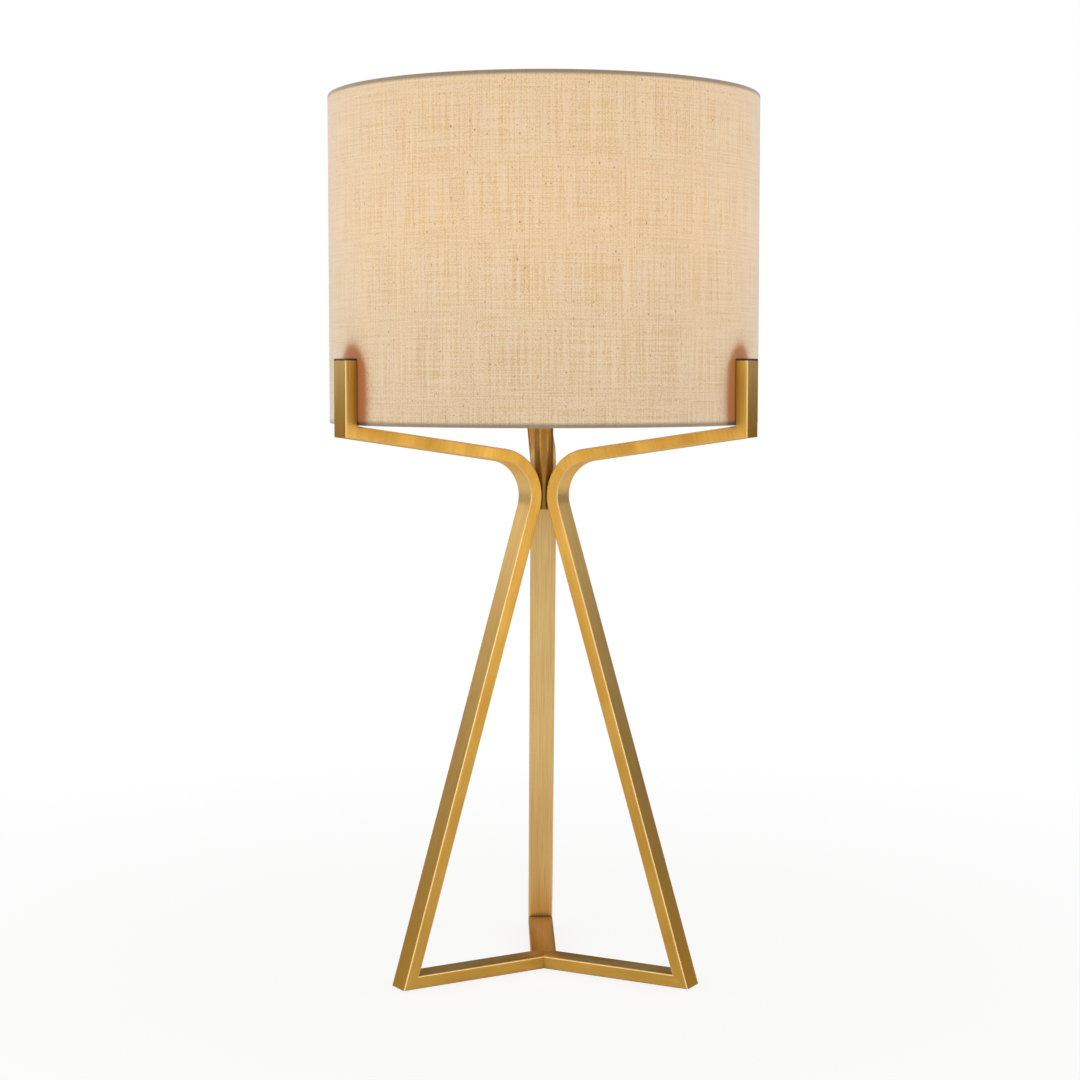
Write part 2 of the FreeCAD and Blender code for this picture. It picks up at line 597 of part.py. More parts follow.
# ---- Bulb ---------------------------------------------------------------------------
BULB_TIP = BODY_TOP + CONTACT_HEIGHT + BULB_SEAT_GAP
BULB_INSULATOR_TOP = BULB_TIP + BULB_TIP_HEIGHT + BULB_INSULATOR_HEIGHT
BULB_CAP_TOP = BULB_INSULATOR_TOP + BULB_CAP_HEIGHT
BULB_RIM = BULB_CAP_TOP + BULB_HOUSING_HEIGHT
BULB_WIDEST = BULB_RIM + BULB_WIDEST_HEIGHT
BULB_RIM_RADIUS = BULB_RADIUS - BULB_RIM_INSET


def dome_side(wall):
    """Middle of the dome's side between its rim and its widest level."""
    sweep = math.asin(BULB_WIDEST_HEIGHT / BULB_RADIUS) / 2
    radius = BULB_RADIUS - wall
    return (radius * math.cos(sweep), BULB_WIDEST - radius * math.sin(sweep))


def dome_half(radius):
    """Middle of the dome's round top."""
    return (radius * math.cos(math.pi / 4), BULB_WIDEST + radius * math.sin(math.pi / 4))


def make_bulb():
    """Bulb: tip, insulator, screw cap, housing, LED plate and opal dome."""
    tip_top = BULB_TIP + BULB_TIP_HEIGHT
    PIECES["bulb_contact"] = turned(
        (0, BULB_TIP), (BULB_TIP_RADIUS / 2, BULB_TIP), (BULB_TIP_RADIUS, BULB_TIP + BULB_TIP_HEIGHT / 2),
        (BULB_TIP_RADIUS, tip_top), (0, tip_top))
    PIECES["bulb_insulator"] = turned(
        (0, tip_top), (BULB_TIP_RADIUS + BULB_CAP_WALL, tip_top), (BULB_INSULATOR_RADIUS, BULB_INSULATOR_TOP),
        (0, BULB_INSULATOR_TOP))
    cap_bore = BULB_CAP_RADIUS - BULB_CAP_WALL
    taper_top = BULB_INSULATOR_TOP + BULB_CAP_RADIUS - BULB_INSULATOR_RADIUS
    PIECES["bulb_cap"] = turned(
        (BULB_INSULATOR_RADIUS - 2 * BULB_CAP_WALL, BULB_INSULATOR_TOP),
        (BULB_INSULATOR_RADIUS, BULB_INSULATOR_TOP),
        (BULB_CAP_RADIUS, taper_top), (BULB_CAP_RADIUS, BULB_CAP_TOP), (cap_bore, BULB_CAP_TOP),
        (cap_bore, taper_top + BULB_CAP_WALL))

    wall = BULB_HOUSING_WALL
    bulge = (BULB_RIM_RADIUS - BULB_NECK_RADIUS) / 4
    middle_radius = (BULB_NECK_RADIUS + BULB_RIM_RADIUS) / 2 + bulge / 2
    middle_level = (BULB_CAP_TOP + BULB_RIM) / 2
    PIECES["bulb_housing"] = turned(
        (cap_bore - wall, BULB_CAP_TOP), (BULB_NECK_RADIUS, BULB_CAP_TOP),
        ((middle_radius, middle_level), (BULB_RIM_RADIUS, BULB_RIM)), (BULB_RIM_RADIUS - wall, BULB_RIM),
        ((middle_radius - wall, middle_level), (cap_bore - wall, BULB_CAP_TOP + wall)))

    plate_radius = BULB_RIM_RADIUS - BULB_DOME_WALL - LED_PLATE_CLEARANCE
    PIECES["bulb_led_plate"] = Part.makeCylinder(plate_radius, LED_PLATE_THICKNESS, at(0, BULB_RIM))

    inner_rim = BULB_RIM_RADIUS - BULB_DOME_WALL
    inner = BULB_RADIUS - BULB_DOME_WALL
    PIECES["bulb_diffuser"] = turned(
        (inner_rim, BULB_RIM), (BULB_RIM_RADIUS, BULB_RIM),
        (dome_side(0.0), (BULB_RADIUS, BULB_WIDEST)),
        (dome_half(BULB_RADIUS), (0, BULB_WIDEST + BULB_RADIUS)),
        (0, BULB_WIDEST + inner), (dome_half(inner), (inner, BULB_WIDEST)),
        (dome_side(BULB_DOME_WALL), (inner_rim, BULB_RIM)))


# ---- Shade --------------------------------------------------------------------------
LINER_RADIUS = SHADE_RADIUS - LINEN_THICKNESS
RING_RADIUS = LINER_RADIUS - LINER_THICKNESS - RING_CLEARANCE - RING_WIRE_RADIUS
RING_INSET = LINEN_THICKNESS + RING_WIRE_RADIUS          # rim to the middle of its ring
SPOKE_RADIUS = RING_RADIUS - 2 * RING_WIRE_RADIUS
FOLD_OUTER = RING_RADIUS - RING_WIRE_RADIUS - RING_CLEARANCE


def make_shade():
    """Linen cover over a stiff liner, two wire rings, and a spider in the upper ring."""
    fold_inner = FOLD_OUTER - LINEN_THICKNESS
    low, high = SHADE_BOTTOM, SHADE_TOP
    cover = turned(
        (fold_inner, low), (SHADE_RADIUS, low), (SHADE_RADIUS, high), (fold_inner, high),
        (fold_inner, high - LINEN_TURN_IN), (FOLD_OUTER, high - LINEN_TURN_IN),
        (FOLD_OUTER, high - LINEN_THICKNESS), (LINER_RADIUS, high - LINEN_THICKNESS),
        (LINER_RADIUS, low + LINEN_THICKNESS), (FOLD_OUTER, low + LINEN_THICKNESS),
        (FOLD_OUTER, low + LINEN_TURN_IN), (fold_inner, low + LINEN_TURN_IN))
    rims = [edge for edge in cover.Edges if edge.Closed and abs(edge.BoundBox.XMax - SHADE_RADIUS) < 1e-3]
    cover = cover.makeFillet(LINEN_ROLL_RADIUS, rims)

    ring_level = high - RING_INSET
    hub_middle = HARP_SEAT + HUB_THICKNESS / 2
    spoke = bent_wire([(HUB_RADIUS - RING_WIRE_RADIUS, hub_middle), (SPOKE_RADIUS, hub_middle),
                       (SPOKE_RADIUS, ring_level)], [SPOKE_BEND_RADIUS], RING_WIRE_RADIUS)
    spoke = spoke.cut(Part.makeCylinder(HUB_RADIUS, HUB_THICKNESS, at(0, HARP_SEAT)))
    notch = Part.makeCylinder(RING_WIRE_RADIUS + SPOKE_NOTCH, high - LINEN_THICKNESS - HARP_SEAT,
                              at(SPOKE_RADIUS, HARP_SEAT))
    for side, angle in LEG_ANGLES.items():
        PIECES[f"{side}_spider_spoke"] = round_about(spoke, angle)
        cover = cover.cut(round_about(notch, angle))
    PIECES["shade_cover"] = cover
    PIECES["shade_liner"] = sleeve(LINER_RADIUS, LINER_RADIUS - LINER_THICKNESS,
                                   low + LINEN_THICKNESS, high - LINEN_THICKNESS)
    PIECES["top_ring"] = Part.makeTorus(RING_RADIUS, RING_WIRE_RADIUS, at(0, ring_level))
    PIECES["bottom_ring"] = Part.makeTorus(RING_RADIUS, RING_WIRE_RADIUS, at(0, low + RING_INSET))
    PIECES["spider_hub"] = sleeve(HUB_RADIUS, STUD_RADIUS + HUB_CLEARANCE,
                                  HARP_SEAT, HARP_SEAT + HUB_THICKNESS)


def make_finial():
    """Round nut on the harp's stud, which holds the spider down."""
    base = HARP_SEAT + HUB_THICKNESS + FINIAL_SEAT_GAP
    base_top = base + FINIAL_BASE_HEIGHT
    rise = math.sqrt(FINIAL_BALL_RADIUS ** 2 - FINIAL_NECK_RADIUS ** 2)
    ball_level = base_top + rise
    bore = STUD_RADIUS + FINIAL_CLEARANCE
    bore_top = HARP_SEAT + STUD_LENGTH + FINIAL_SEAT_GAP
    PIECES["finial"] = turned(
        (bore, base), (FINIAL_BASE_RADIUS, base), (FINIAL_BASE_RADIUS, base + FINIAL_BASE_HEIGHT / 2),
        (FINIAL_NECK_RADIUS, base_top),
        ((FINIAL_BALL_RADIUS, ball_level), (0, ball_level + FINIAL_BALL_RADIUS)),
        (0, bore_top), (bore, bore_top))


make_frame()
make_stem()
make_harp()
make_lampholder()
make_switch()
make_bulb()
make_shade()
make_finial()

os.makedirs("parts", exist_ok=True)
for name, shape in PIECES.items():
    shape.exportStep(f"parts/{name}.step")
print(f"{len(PIECES)} pieces, leg lean {math.degrees(leg_lean):.2f} degrees")
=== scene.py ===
"""Tripod table lamp: satin brass tube legs, a glowing linen drum shade, and all that it hides.

Metres, +Z up, the front is -Y. The lamp's axis stands on the origin.
"""
import json
import logging
import math
from dataclasses import dataclass
from enum import Enum
from typing import Any, Sequence

import bmesh
import bpy
from mathutils import Matrix, Vector


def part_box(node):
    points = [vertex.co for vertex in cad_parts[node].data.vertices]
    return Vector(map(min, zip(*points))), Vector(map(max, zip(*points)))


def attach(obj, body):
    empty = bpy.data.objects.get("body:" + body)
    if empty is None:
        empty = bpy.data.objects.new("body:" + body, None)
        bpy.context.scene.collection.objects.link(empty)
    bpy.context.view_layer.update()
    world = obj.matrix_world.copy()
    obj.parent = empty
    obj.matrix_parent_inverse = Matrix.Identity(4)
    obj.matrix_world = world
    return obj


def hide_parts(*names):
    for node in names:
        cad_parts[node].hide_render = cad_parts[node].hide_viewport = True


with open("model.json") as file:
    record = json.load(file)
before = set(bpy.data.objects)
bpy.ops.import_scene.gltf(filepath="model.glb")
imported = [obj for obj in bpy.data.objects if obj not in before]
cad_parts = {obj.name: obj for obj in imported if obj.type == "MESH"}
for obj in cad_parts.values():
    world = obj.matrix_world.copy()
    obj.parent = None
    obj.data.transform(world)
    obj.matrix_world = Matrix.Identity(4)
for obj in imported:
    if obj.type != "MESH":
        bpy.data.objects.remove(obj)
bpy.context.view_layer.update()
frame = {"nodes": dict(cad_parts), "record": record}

MM = 0.001
FULL_TURN = 2 * math.pi
LOG = logging.getLogger("lamp")

Point = tuple[float, float]
Shape = bmesh.types.BMesh
Edges = list[bmesh.types.BMEdge]
Tree = bpy.types.NodeTree
Socket = bpy.types.NodeSocket


class Leg(Enum):
    """The three legs, each with the direction it runs out in, in degrees from +X."""

    LEFT = 210.0
    RIGHT = 330.0
    REAR = 90.0

    @property
    def title(self) -> str:
        """The word that starts the names of this leg's nodes."""
        return self.name.lower()

    @property
    def turn(self) -> Matrix:
        """Rotation that takes a piece drawn along +X to this leg."""
        return Matrix.Rotation(math.radians(self.value), 4, "Z")


# ---- Shader helpers -----------------------------------------------------------------
def colour(code: str) -> tuple[float, float, float, float]:
    """Turns an sRGB hex value to linear.

    Args:
        code: Six hex digits, as RRGGBB.

    Returns:
        Linear red, green, blue and an alpha of 1.
    """
    parts = [int(code[i:i + 2], 16) / 255 for i in (0, 2, 4)]
    linear = [c / 12.92 if c <= 0.04045 else ((c + 0.055) / 1.055) ** 2.4 for c in parts]
    return (linear[0], linear[1], linear[2], 1.0)


def feed(tree: Tree, node: bpy.types.Node, inputs: dict[str | int, Any]) -> None:
    """Gives each named input of a node its value or its link.

    Args:
        tree: The node tree.
        node: The node.
        inputs: Input name or number to a value, or to an output socket to link.
    """
    for name, value in inputs.items():
        if isinstance(value, Socket):
            tree.links.new(value, node.inputs[name])
        else:
            node.inputs[name].default_value = value


def add(tree: Tree, kind: str, inputs: dict[str, Any] | Sequence[Any] = (),
        output: str | int = 0, **settings: Any) -> Socket:
    """Adds a node with its settings, and with a value or a link on its inputs.

    Args:
        tree: The node tree that the node goes into.
        kind: The node's type, without the word ShaderNode.
        inputs: Values or sockets, by the inputs' names or in their order.
        output: Name or number of the output that is wanted.
        settings: The node's own properties.

    Returns:
        That output of the new node.
    """
    node = tree.nodes.new("ShaderNode" + kind)
    for name, value in settings.items():
        setattr(node, name, value)
    feed(tree, node, inputs if isinstance(inputs, dict) else dict(enumerate(inputs)))
    return node.outputs[output]


def stretched(tree: Tree, source: Socket, spacing: Sequence[float], detail: float = 2.0) -> Socket:
    """Noise whose grains have a real size along each axis.

    Args:
        tree: The node tree.
        source: Coordinates in metres.
        spacing: Size of a grain along each of the three axes, in metres.
        detail: Octaves of the noise.

    Returns:
        The noise, about 0.5 on average.
    """
    mapped = add(tree, "Mapping", {"Vector": source, "Scale": [1 / size for size in spacing]})
    return add(tree, "TexNoise", {"Vector": mapped, "Scale": 1.0, "Detail": detail,
                                  "Roughness": 0.5})


def background_ray(tree: Tree) -> Socket:
    """Tells the rays that show the white room from those that light the lamp.

    Args:
        tree: The node tree.

    Returns:
        1 for rays from the camera or off metal or glass, and nought for the others.
    """
    rays = add(tree, "LightPath").node.outputs
    seen = add(tree, "Math", (rays["Is Camera Ray"], rays["Is Glossy Ray"]), operation="MAXIMUM")
    return add(tree, "Math", (seen, rays["Is Transmission Ray"]), operation="MAXIMUM")


# ---- Finishes -----------------------------------------------------------------------
class Finish:
    """What every finish shares: a name, and inputs for the Principled shader."""

    name: str

    def inputs(self, tree: Tree) -> dict[str, Any]:
        """Works out the shader's inputs, each a value or a socket."""
        raise NotImplementedError

    def material(self) -> bpy.types.Material:
        """Builds the material.

        Returns:
            The new material.
        """
        material = bpy.data.materials.new(self.name)
        material.use_nodes = True
        tree = material.node_tree
        feed(tree, tree.nodes["Principled BSDF"], self.inputs(tree))
        return material


@dataclass(frozen=True)
class Moulded(Finish):
    """A moulded, plated, pressed or coated surface with a fine even grain.

    The base colour wanders between two shades over patches, the gloss wanders with it, and
    the grain is a shallow bump of a real size.
    """

    name: str
    shade: str
    second_shade: str
    roughness: float
    metallic: float = 0.0
    grain: float = 0.4 * MM
    relief: float = 0.01 * MM
    patch: float = 9 * MM
    coat: float = 0.0

    def inputs(self, tree: Tree) -> dict[str, Any]:
        """Works out the shader's inputs.

        Args:
            tree: The material's node tree.

        Returns:
            A value or a socket for each input.
        """
        place = add(tree, "TexCoord", (), "Object")
        patches = stretched(tree, place, [self.patch] * 3, 3.0)
        grains = stretched(tree, place, [self.grain] * 3)
        shades = (patches, colour(self.shade), colour(self.second_shade))
        gloss = (patches, 0.3, 0.7, self.roughness * 0.85, self.roughness * 1.15)
        bump = {"Height": grains, "Distance": self.relief, "Strength": 0.6}
        return {"Base Color": add(tree, "MixRGB", shades), "Roughness": add(tree, "MapRange", gloss),
                "Metallic": self.metallic, "Coat Weight": self.coat,
                "Normal": add(tree, "Bump", bump)}


@dataclass(frozen=True)
class SatinBrass(Finish):
    """Steel tube with a lacquered satin brass finish, with rubbing marks along its length.

    The eye sees a soft golden sheen with faint long streaks and slow clouds in the lacquer.
    A painted highlight runs along the rounded edges, broken up by streaks where the rubbing
    reached the metal, and painted shade darkens crevices and the lines where two tubes meet,
    wherever other brass stands close. Real rubbing marks are about 0.1 mm wide. They are
    drawn 0.7 mm wide, or they wouldn't show. It reads the run and edge attributes of the tubes.
    """

    name: str = "lacquered satin brass"
    shade: str = "BF9445"
    second_shade: str = "AC8036"
    # Painted highlight: the pale colour laid along the tubes' rounded edges.
    painted_edge_highlight: str = "E2C286"
    # Painted shade: the near-black brown that crevices and tube joints are darkened to.
    painted_crevice_shade: str = "3A2610"
    glance: str = "E2AE58"
    roughness: float = 0.36
    metallic: float = 0.78
    gloss: float = 0.25
    crevice: float = 10 * MM
    streak_width: float = 0.7 * MM
    streak_length: float = 38 * MM
    cloud: float = 26 * MM
    relief: float = 0.012 * MM

    def inputs(self, tree: Tree) -> dict[str, Any]:
        """Works out the shader's inputs.

        Args:
            tree: The material's node tree.

        Returns:
            A value or a socket for each input.
        """
        run = add(tree, "Attribute", (), "Vector", attribute_name="run")
        edge = add(tree, "Attribute", (), "Fac", attribute_name="edge")
        streak = stretched(tree, run, (self.streak_length, self.streak_width, self.streak_width), 3.0)
        clouds = stretched(tree, run, (2 * self.cloud, self.cloud, self.cloud))
        share = add(tree, "Math", (clouds, 0.55), operation="MULTIPLY")
        mixed = add(tree, "Math", (streak, 0.45, share), operation="MULTIPLY_ADD")
        tone = add(tree, "MixRGB", (add(tree, "MapRange", (mixed, 0.34, 0.66, 0.0, 1.0)),
                                    colour(self.shade), colour(self.second_shade)))
        # Painted highlight along the rounded edges, broken up by the streaks so that parts of it read
        # as bare metal.
        bare = add(tree, "MapRange", (streak, 0.3, 0.6, 0.5, 0.9))
        edge_highlight_and_wear = add(tree, "Math", (edge, bare), operation="MULTIPLY")
        tone = add(tree, "MixRGB", (edge_highlight_and_wear, tone, colour(self.painted_edge_highlight)))
        # Painted shade: the colour is darkened where other brass stands closer than the crevice
        # distance.
        open_sky = add(tree, "AmbientOcclusion", {"Distance": self.crevice}, "AO", samples=8)
        closed = add(tree, "MapRange", (open_sky, 0.25, 0.62, 0.85, 0.0))
        wander = (mixed, 0.3, 0.7, self.roughness - 0.05, self.roughness + 0.06)
        bump = {"Height": streak, "Distance": self.relief, "Strength": 0.7}
        return {"Base Color": add(tree, "MixRGB", (closed, tone, colour(self.painted_crevice_shade))),
                "Roughness": add(tree, "MapRange", wander), "Metallic": self.metallic,
                "Specular IOR Level": self.gloss, "Specular Tint": colour(self.glance),
                "Normal": add(tree, "Bump", bump)}


@dataclass(frozen=True)
class Linen(Finish):
    """Oatmeal linen in a plain weave, glued to a stiff liner and lit from behind.

    The eye sees uneven warp and weft, thick slubs, a few dark flecks of husk, and a painted
    warm glow that stands for the bulb's light through the cloth and falls off away from the
    bulb's level. At each rim the ring and the turned-in edge of the cloth stop the light,
    and the dull band there is also painted shade in the cloth's colour. Beside each upright
    the cloth is painted brown as shade, and its glow turns to a painted orange bounce off
    the brass. The threads are about 0.7 mm apart. They are drawn at 1.2 mm, or they
    wouldn't show. It reads the cloth's own UV map.
    """

    bottom: float
    top: float
    name: str = "oatmeal linen plain weave"
    thread: str = "CABEAB"
    gap: str = "A4906F"
    slub: str = "A98F6C"
    husk: str = "8A6642"
    # Painted shade: the dull colour the cloth is darkened to at each rim, where the light is stopped.
    painted_rim_shade: str = "8C735A"
    glow: str = "FFBE50"
    second_glow: str = "FFB264"
    # Painted shade and painted bounce beside the uprights: the cloth is darkened towards the first
    # colour, and its glow is turned towards the second and raised.
    shaded: str = "8A4208"
    painted_brass_bounce: str = "FF9800"
    sheen_tint: str = "F2EEE8"
    thread_pitch: float = 1.2 * MM
    thread_run: float = 24 * MM
    glow_strength: float = 0.33
    glow_level: float = 0.615
    rim_band: float = 3.4 * MM
    shade_reach: float = 34 * MM

    def weave(self, tree: Tree, cloth: Socket) -> Socket:
        """Warp, weft, nubs and the threads' crossings.

        Args:
            tree: The node tree.
            cloth: Coordinates along and up the cloth, in metres.

        Returns:
            High on a thread and low in a gap, about 0.5 on average.
        """
        pitch, run = self.thread_pitch, 2.5 * self.thread_run
        split = add(tree, "SeparateXYZ", (cloth,)).node.outputs
        waves = []
        for axis in (0, 1):
            turns = add(tree, "Math", (split[axis], FULL_TURN / (2 * pitch)), operation="MULTIPLY")
            waves.append(add(tree, "Math", (turns,), operation="SINE"))
        crossing = add(tree, "Math", waves, operation="MULTIPLY")
        total = add(tree, "Math", (crossing, 0.05), operation="MULTIPLY")
        for along, up, weight in ((pitch, run, 0.36), (run, pitch, 0.30), (pitch, pitch, 0.42)):
            threads = stretched(tree, cloth, (along, up, 1.0), 1.0)
            total = add(tree, "Math", (threads, weight, total), operation="MULTIPLY_ADD")
        return total

    def rims(self, tree: Tree, height: Socket) -> Socket:
        """Share of the light that gets through: nought at the rims, 1 between them.

        Args:
            tree: The node tree.
            height: Height above the table, in metres.

        Returns:
            The share.
        """
        band = self.rim_band
        ends = ((self.bottom + 0.6 * band, self.bottom + 1.3 * band),
                (self.top - 0.7 * band, self.top - 1.3 * band))
        shares = [add(tree, "MapRange", (height, dark, light, 0.0, 1.0)) for dark, light in ends]
        return add(tree, "Math", shares, operation="MULTIPLY")

    def brass_shade(self, tree: Tree, cloth: Socket) -> Socket:
        """How much brass stands close to the cloth, with a frayed edge.

        Args:
            tree: The node tree.
            cloth: Coordinates along and up the cloth, in metres.

        Returns:
            From nought on open cloth to 1 beside an upright.
        """
        # Painted shade and painted bounce go where this lookup finds brass close to the cloth.
        open_room = add(tree, "AmbientOcclusion", {"Distance": self.shade_reach}, "AO", samples=24)
        frays = stretched(tree, cloth, (2 * MM, 3 * MM, 1.0))
        fray = add(tree, "Math", (frays, 0.5), operation="SUBTRACT")
        frayed = add(tree, "Math", (fray, 0.05, open_room), operation="MULTIPLY_ADD")
        return add(tree, "MapRange", (frayed, 0.86, 0.975, 1.0, 0.0),
                   interpolation_type="SMOOTHSTEP")

    def flecks(self, tree: Tree, cloth: Socket) -> tuple[Socket, Socket]:
        """Thick slubs along both threads, and flecks of husk.

        Args:
            tree: The node tree.
            cloth: Coordinates along and up the cloth, in metres.

        Returns:
            How much slub and how much husk there is.
        """
        pitch, run = self.thread_pitch, self.thread_run
        warp = stretched(tree, cloth, (1.4 * pitch, 0.3 * run, 1.0))
        weft = stretched(tree, cloth, (0.4 * run, 1.2 * pitch, 1.0))
        specks = stretched(tree, cloth, (1.6 * pitch, 2.6 * pitch, 1.0), 0.0)
        slubs = (add(tree, "MapRange", (warp, 0.62, 0.74, 0.0, 0.7)),
                 add(tree, "MapRange", (weft, 0.66, 0.76, 0.0, 0.5)))
        return (add(tree, "Math", slubs, operation="MAXIMUM"),
                add(tree, "MapRange", (specks, 0.765, 0.83, 0.0, 0.75)))

    def inputs(self, tree: Tree) -> dict[str, Any]:
        """Works out the shader's inputs.

        Args:
            tree: The material's node tree.

        Returns:
            A value or a socket for each input.
        """
        cloth = add(tree, "UVMap", uv_map="cloth")
        height = add(tree, "SeparateXYZ", (add(tree, "TexCoord", (), "Object"),), 2)
        weave, through = self.weave(tree, cloth), self.rims(tree, height)
        shade = self.brass_shade(tree, cloth)
        slubs, husks = self.flecks(tree, cloth)
        bands = stretched(tree, cloth, (9 * MM, 220 * MM, 1.0), 3.0)
        clouds = stretched(tree, cloth, (28 * MM, 28 * MM, 1.0))

        tone = colour(self.gap)
        # The tone: gap, then thread, painted shade at the rims, slubs and husks.
        for share, code in ((add(tree, "MapRange", (weave, 0.41, 0.59, 0.0, 1.0)), self.thread),
                            (add(tree, "MapRange", (through, 0.0, 1.0, 0.8, 0.0)), self.painted_rim_shade),
                            (slubs, self.slub), (husks, self.husk)):
            tone = add(tree, "MixRGB", (share, tone, colour(code)))
        # Painted shade: the tone darkened towards brown beside the uprights.
        painted_shade_tone = add(tree, "MixRGB", (1.0, tone, colour(self.shaded)), blend_type="MULTIPLY")

        lit = add(tree, "MapRange", (height, self.bottom, self.glow_level, 0.62, 1.0))
        for factor in (add(tree, "MapRange", (height, self.glow_level, self.top, 1.0, 0.90)),
                       through,
                       add(tree, "MapRange", (weave, 0.40, 0.60, 1.15, 0.85)),
                       add(tree, "MapRange", (bands, 0.3, 0.7, 0.94, 1.06)),
                       add(tree, "MapRange", (husks, 0.0, 1.0, 1.0, 0.55)),
                       # Painted bounce: more glow beside the uprights, as if lit off the brass.
                       add(tree, "MapRange", (shade, 0.0, 1.0, 1.0, 1.15)),
                       self.glow_strength):
            lit = add(tree, "Math", (lit, factor), operation="MULTIPLY")
        glow = add(tree, "MixRGB", (add(tree, "MapRange", (clouds, 0.35, 0.65, 0.0, 0.5)),
                                    colour(self.glow), colour(self.second_glow)))
        bump = {"Height": weave, "Distance": 0.25 * MM, "Strength": 0.55}
        return {"Base Color": add(tree, "MixRGB", (shade, tone, painted_shade_tone)),
                "Roughness": 0.92, "Specular IOR Level": 0.25,
                "Sheen Weight": 1.0, "Sheen Roughness": 0.4, "Sheen Tint": colour(self.sheen_tint),
                "Coat Weight": 0.6, "Coat Roughness": 0.7, "Coat IOR": 1.6,
                "Emission Color": add(tree, "MixRGB", (shade, glow, colour(self.painted_brass_bounce))),
                "Emission Strength": lit, "Normal": add(tree, "Bump", bump)}


@dataclass(frozen=True)
class LitPlastic(Finish):
    """Translucent plastic with a lamp behind it: a styrene liner, or an opal dome.

    The eye sees an even milky surface that is brightest near the bulb's level.
    """

    name: str
    shade: str
    glow: str
    strength: float
    level: float
    spread: float
    faded: float
    roughness: float = 0.5
    milk: str = "F4EFE4"
    cloud: float = 18 * MM
    grain: float = 0.5 * MM
    relief: float = 0.01 * MM

    def inputs(self, tree: Tree) -> dict[str, Any]:
        """Works out the shader's inputs.

        Args:
            tree: The material's node tree.

        Returns:
            A value or a socket for each input.
        """
        place = add(tree, "TexCoord", (), "Object")
        height = add(tree, "SeparateXYZ", (place,), 2)
        offset = add(tree, "Math", (height, self.level), operation="SUBTRACT")
        away = add(tree, "Math", (offset,), operation="ABSOLUTE")
        clouds = stretched(tree, place, [self.cloud] * 3)
        lit = add(tree, "MapRange", (away, 0.0, self.spread, 1.0, self.faded))
        for factor in (add(tree, "MapRange", (clouds, 0.3, 0.7, 0.96, 1.04)), self.strength):
            lit = add(tree, "Math", (lit, factor), operation="MULTIPLY")
        bump = {"Height": stretched(tree, place, [self.grain] * 3), "Distance": self.relief,
                "Strength": 0.4}
        return {"Base Color": add(tree, "MixRGB", (clouds, colour(self.shade), colour(self.milk))),
                "Roughness": self.roughness, "Emission Color": colour(self.glow),
                "Emission Strength": lit, "Normal": add(tree, "Bump", bump)}


@dataclass(frozen=True)
class BlackFelt(Finish):
    """Dark wool felt of a studio card: no gloss at all."""

    name: str = "black felt"
    shade: str = "2A2622"

    def inputs(self, tree: Tree) -> dict[str, Any]:
        """Two plain values: nothing on a studio card needs a pattern."""
        return {"Base Color": colour(self.shade), "Roughness": 1.0}


@dataclass(frozen=True)
class PaleTable(Finish):
    """Pale satin table top that fades to the white of the room away from the lamp."""

    name: str = "pale table top"
    shade: str = "F4F4F2"
    near: float = 0.3
    far: float = 1.0
    own_light: float = 0.85

    def inputs(self, tree: Tree) -> dict[str, Any]:
        """Two plain values: the table top is even."""
        return {"Base Color": colour(self.shade), "Roughness": 0.6}

    def material(self) -> bpy.types.Material:
        """Builds the material, with white light of its own for the rays that show the room.

        Returns:
            The new material.
        """
        material = super().material()
        tree = material.node_tree
        place = add(tree, "TexCoord", (), "Object")
        away = add(tree, "VectorMath", (place,), "Value", operation="LENGTH")
        own = add(tree, "MapRange", (away, self.near, self.far, self.own_light, 1.0))
        share = add(tree, "Math", (own, background_ray(tree)), operation="MULTIPLY")
        white = add(tree, "Emission", (colour("FFFFFF"), 1.0))
        shader = tree.nodes["Principled BSDF"].outputs[0]
        mixed = add(tree, "MixShader", (share, shader, white))
        feed(tree, tree.nodes["Material Output"], {"Surface": mixed})
        return material


# Injection-moulded nylon end plug: near black, matt, with a faint spark-eroded grain.
BLACK_NYLON = Moulded("black moulded nylon", "15110D", "221B15", 0.48, relief=0.02 * MM)
# Die-cut rubber foot: dull dark grey, slightly dusty.
FOOT_RUBBER = Moulded("rubber foot pad", "2A2926", "3A3834", 0.85, relief=0.05 * MM)
# Steel wire with a white powder coat: smooth and slightly pebbled.
WHITE_WIRE = Moulded("white powder-coated wire", "E6E1D6", "D8D2C6", 0.42, grain=0.9 * MM,
                     relief=0.03 * MM)
# Bright zinc on steel: cool, a little cloudy.
ZINC = Moulded("bright zinc plated steel", "C9C8C2", "AEB0AE", 0.32, 1.0, patch=3 * MM)
# Drawn steel wire with a brass flash: even yellow metal with a soft gloss.
BRASS_PLATE = Moulded("brass plated steel", "D8B26A", "C59A50", 0.24, 1.0, patch=14 * MM)
# Turned brass, satin lacquered: like the legs, but finer.
TURNED_BRASS = Moulded("turned satin brass", "A87E38", "96702C", 0.34, 0.8, grain=0.3 * MM)
# Pressed sheet brass shell of a lampholder: bright, with slow clouds of handling.
SHEET_BRASS = Moulded("pressed sheet brass", "DDBB74", "CDA45A", 0.22, 1.0, patch=8 * MM)
# Vulcanised fibre sleeve: warm grey-brown board.
FIBRE = Moulded("vulcanised fibre", "8C8272", "766C5D", 0.8, grain=0.6 * MM, relief=0.05 * MM)
# Phenolic moulding: black-brown with a dull polish.
PHENOLIC = Moulded("black phenolic", "1C1613", "2A211C", 0.38, coat=0.2)
# Nickel plated brass cap of the bulb: pale, slightly warm metal.
NICKEL = Moulded("nickel plated brass", "D6D2C8", "C2BEB4", 0.25, 1.0, patch=6 * MM)
# Black glass insulator under the bulb's cap: a hard dark gloss.
BLACK_GLASS = Moulded("black vitrite glass", "0B0B10", "14141C", 0.12, coat=0.5)
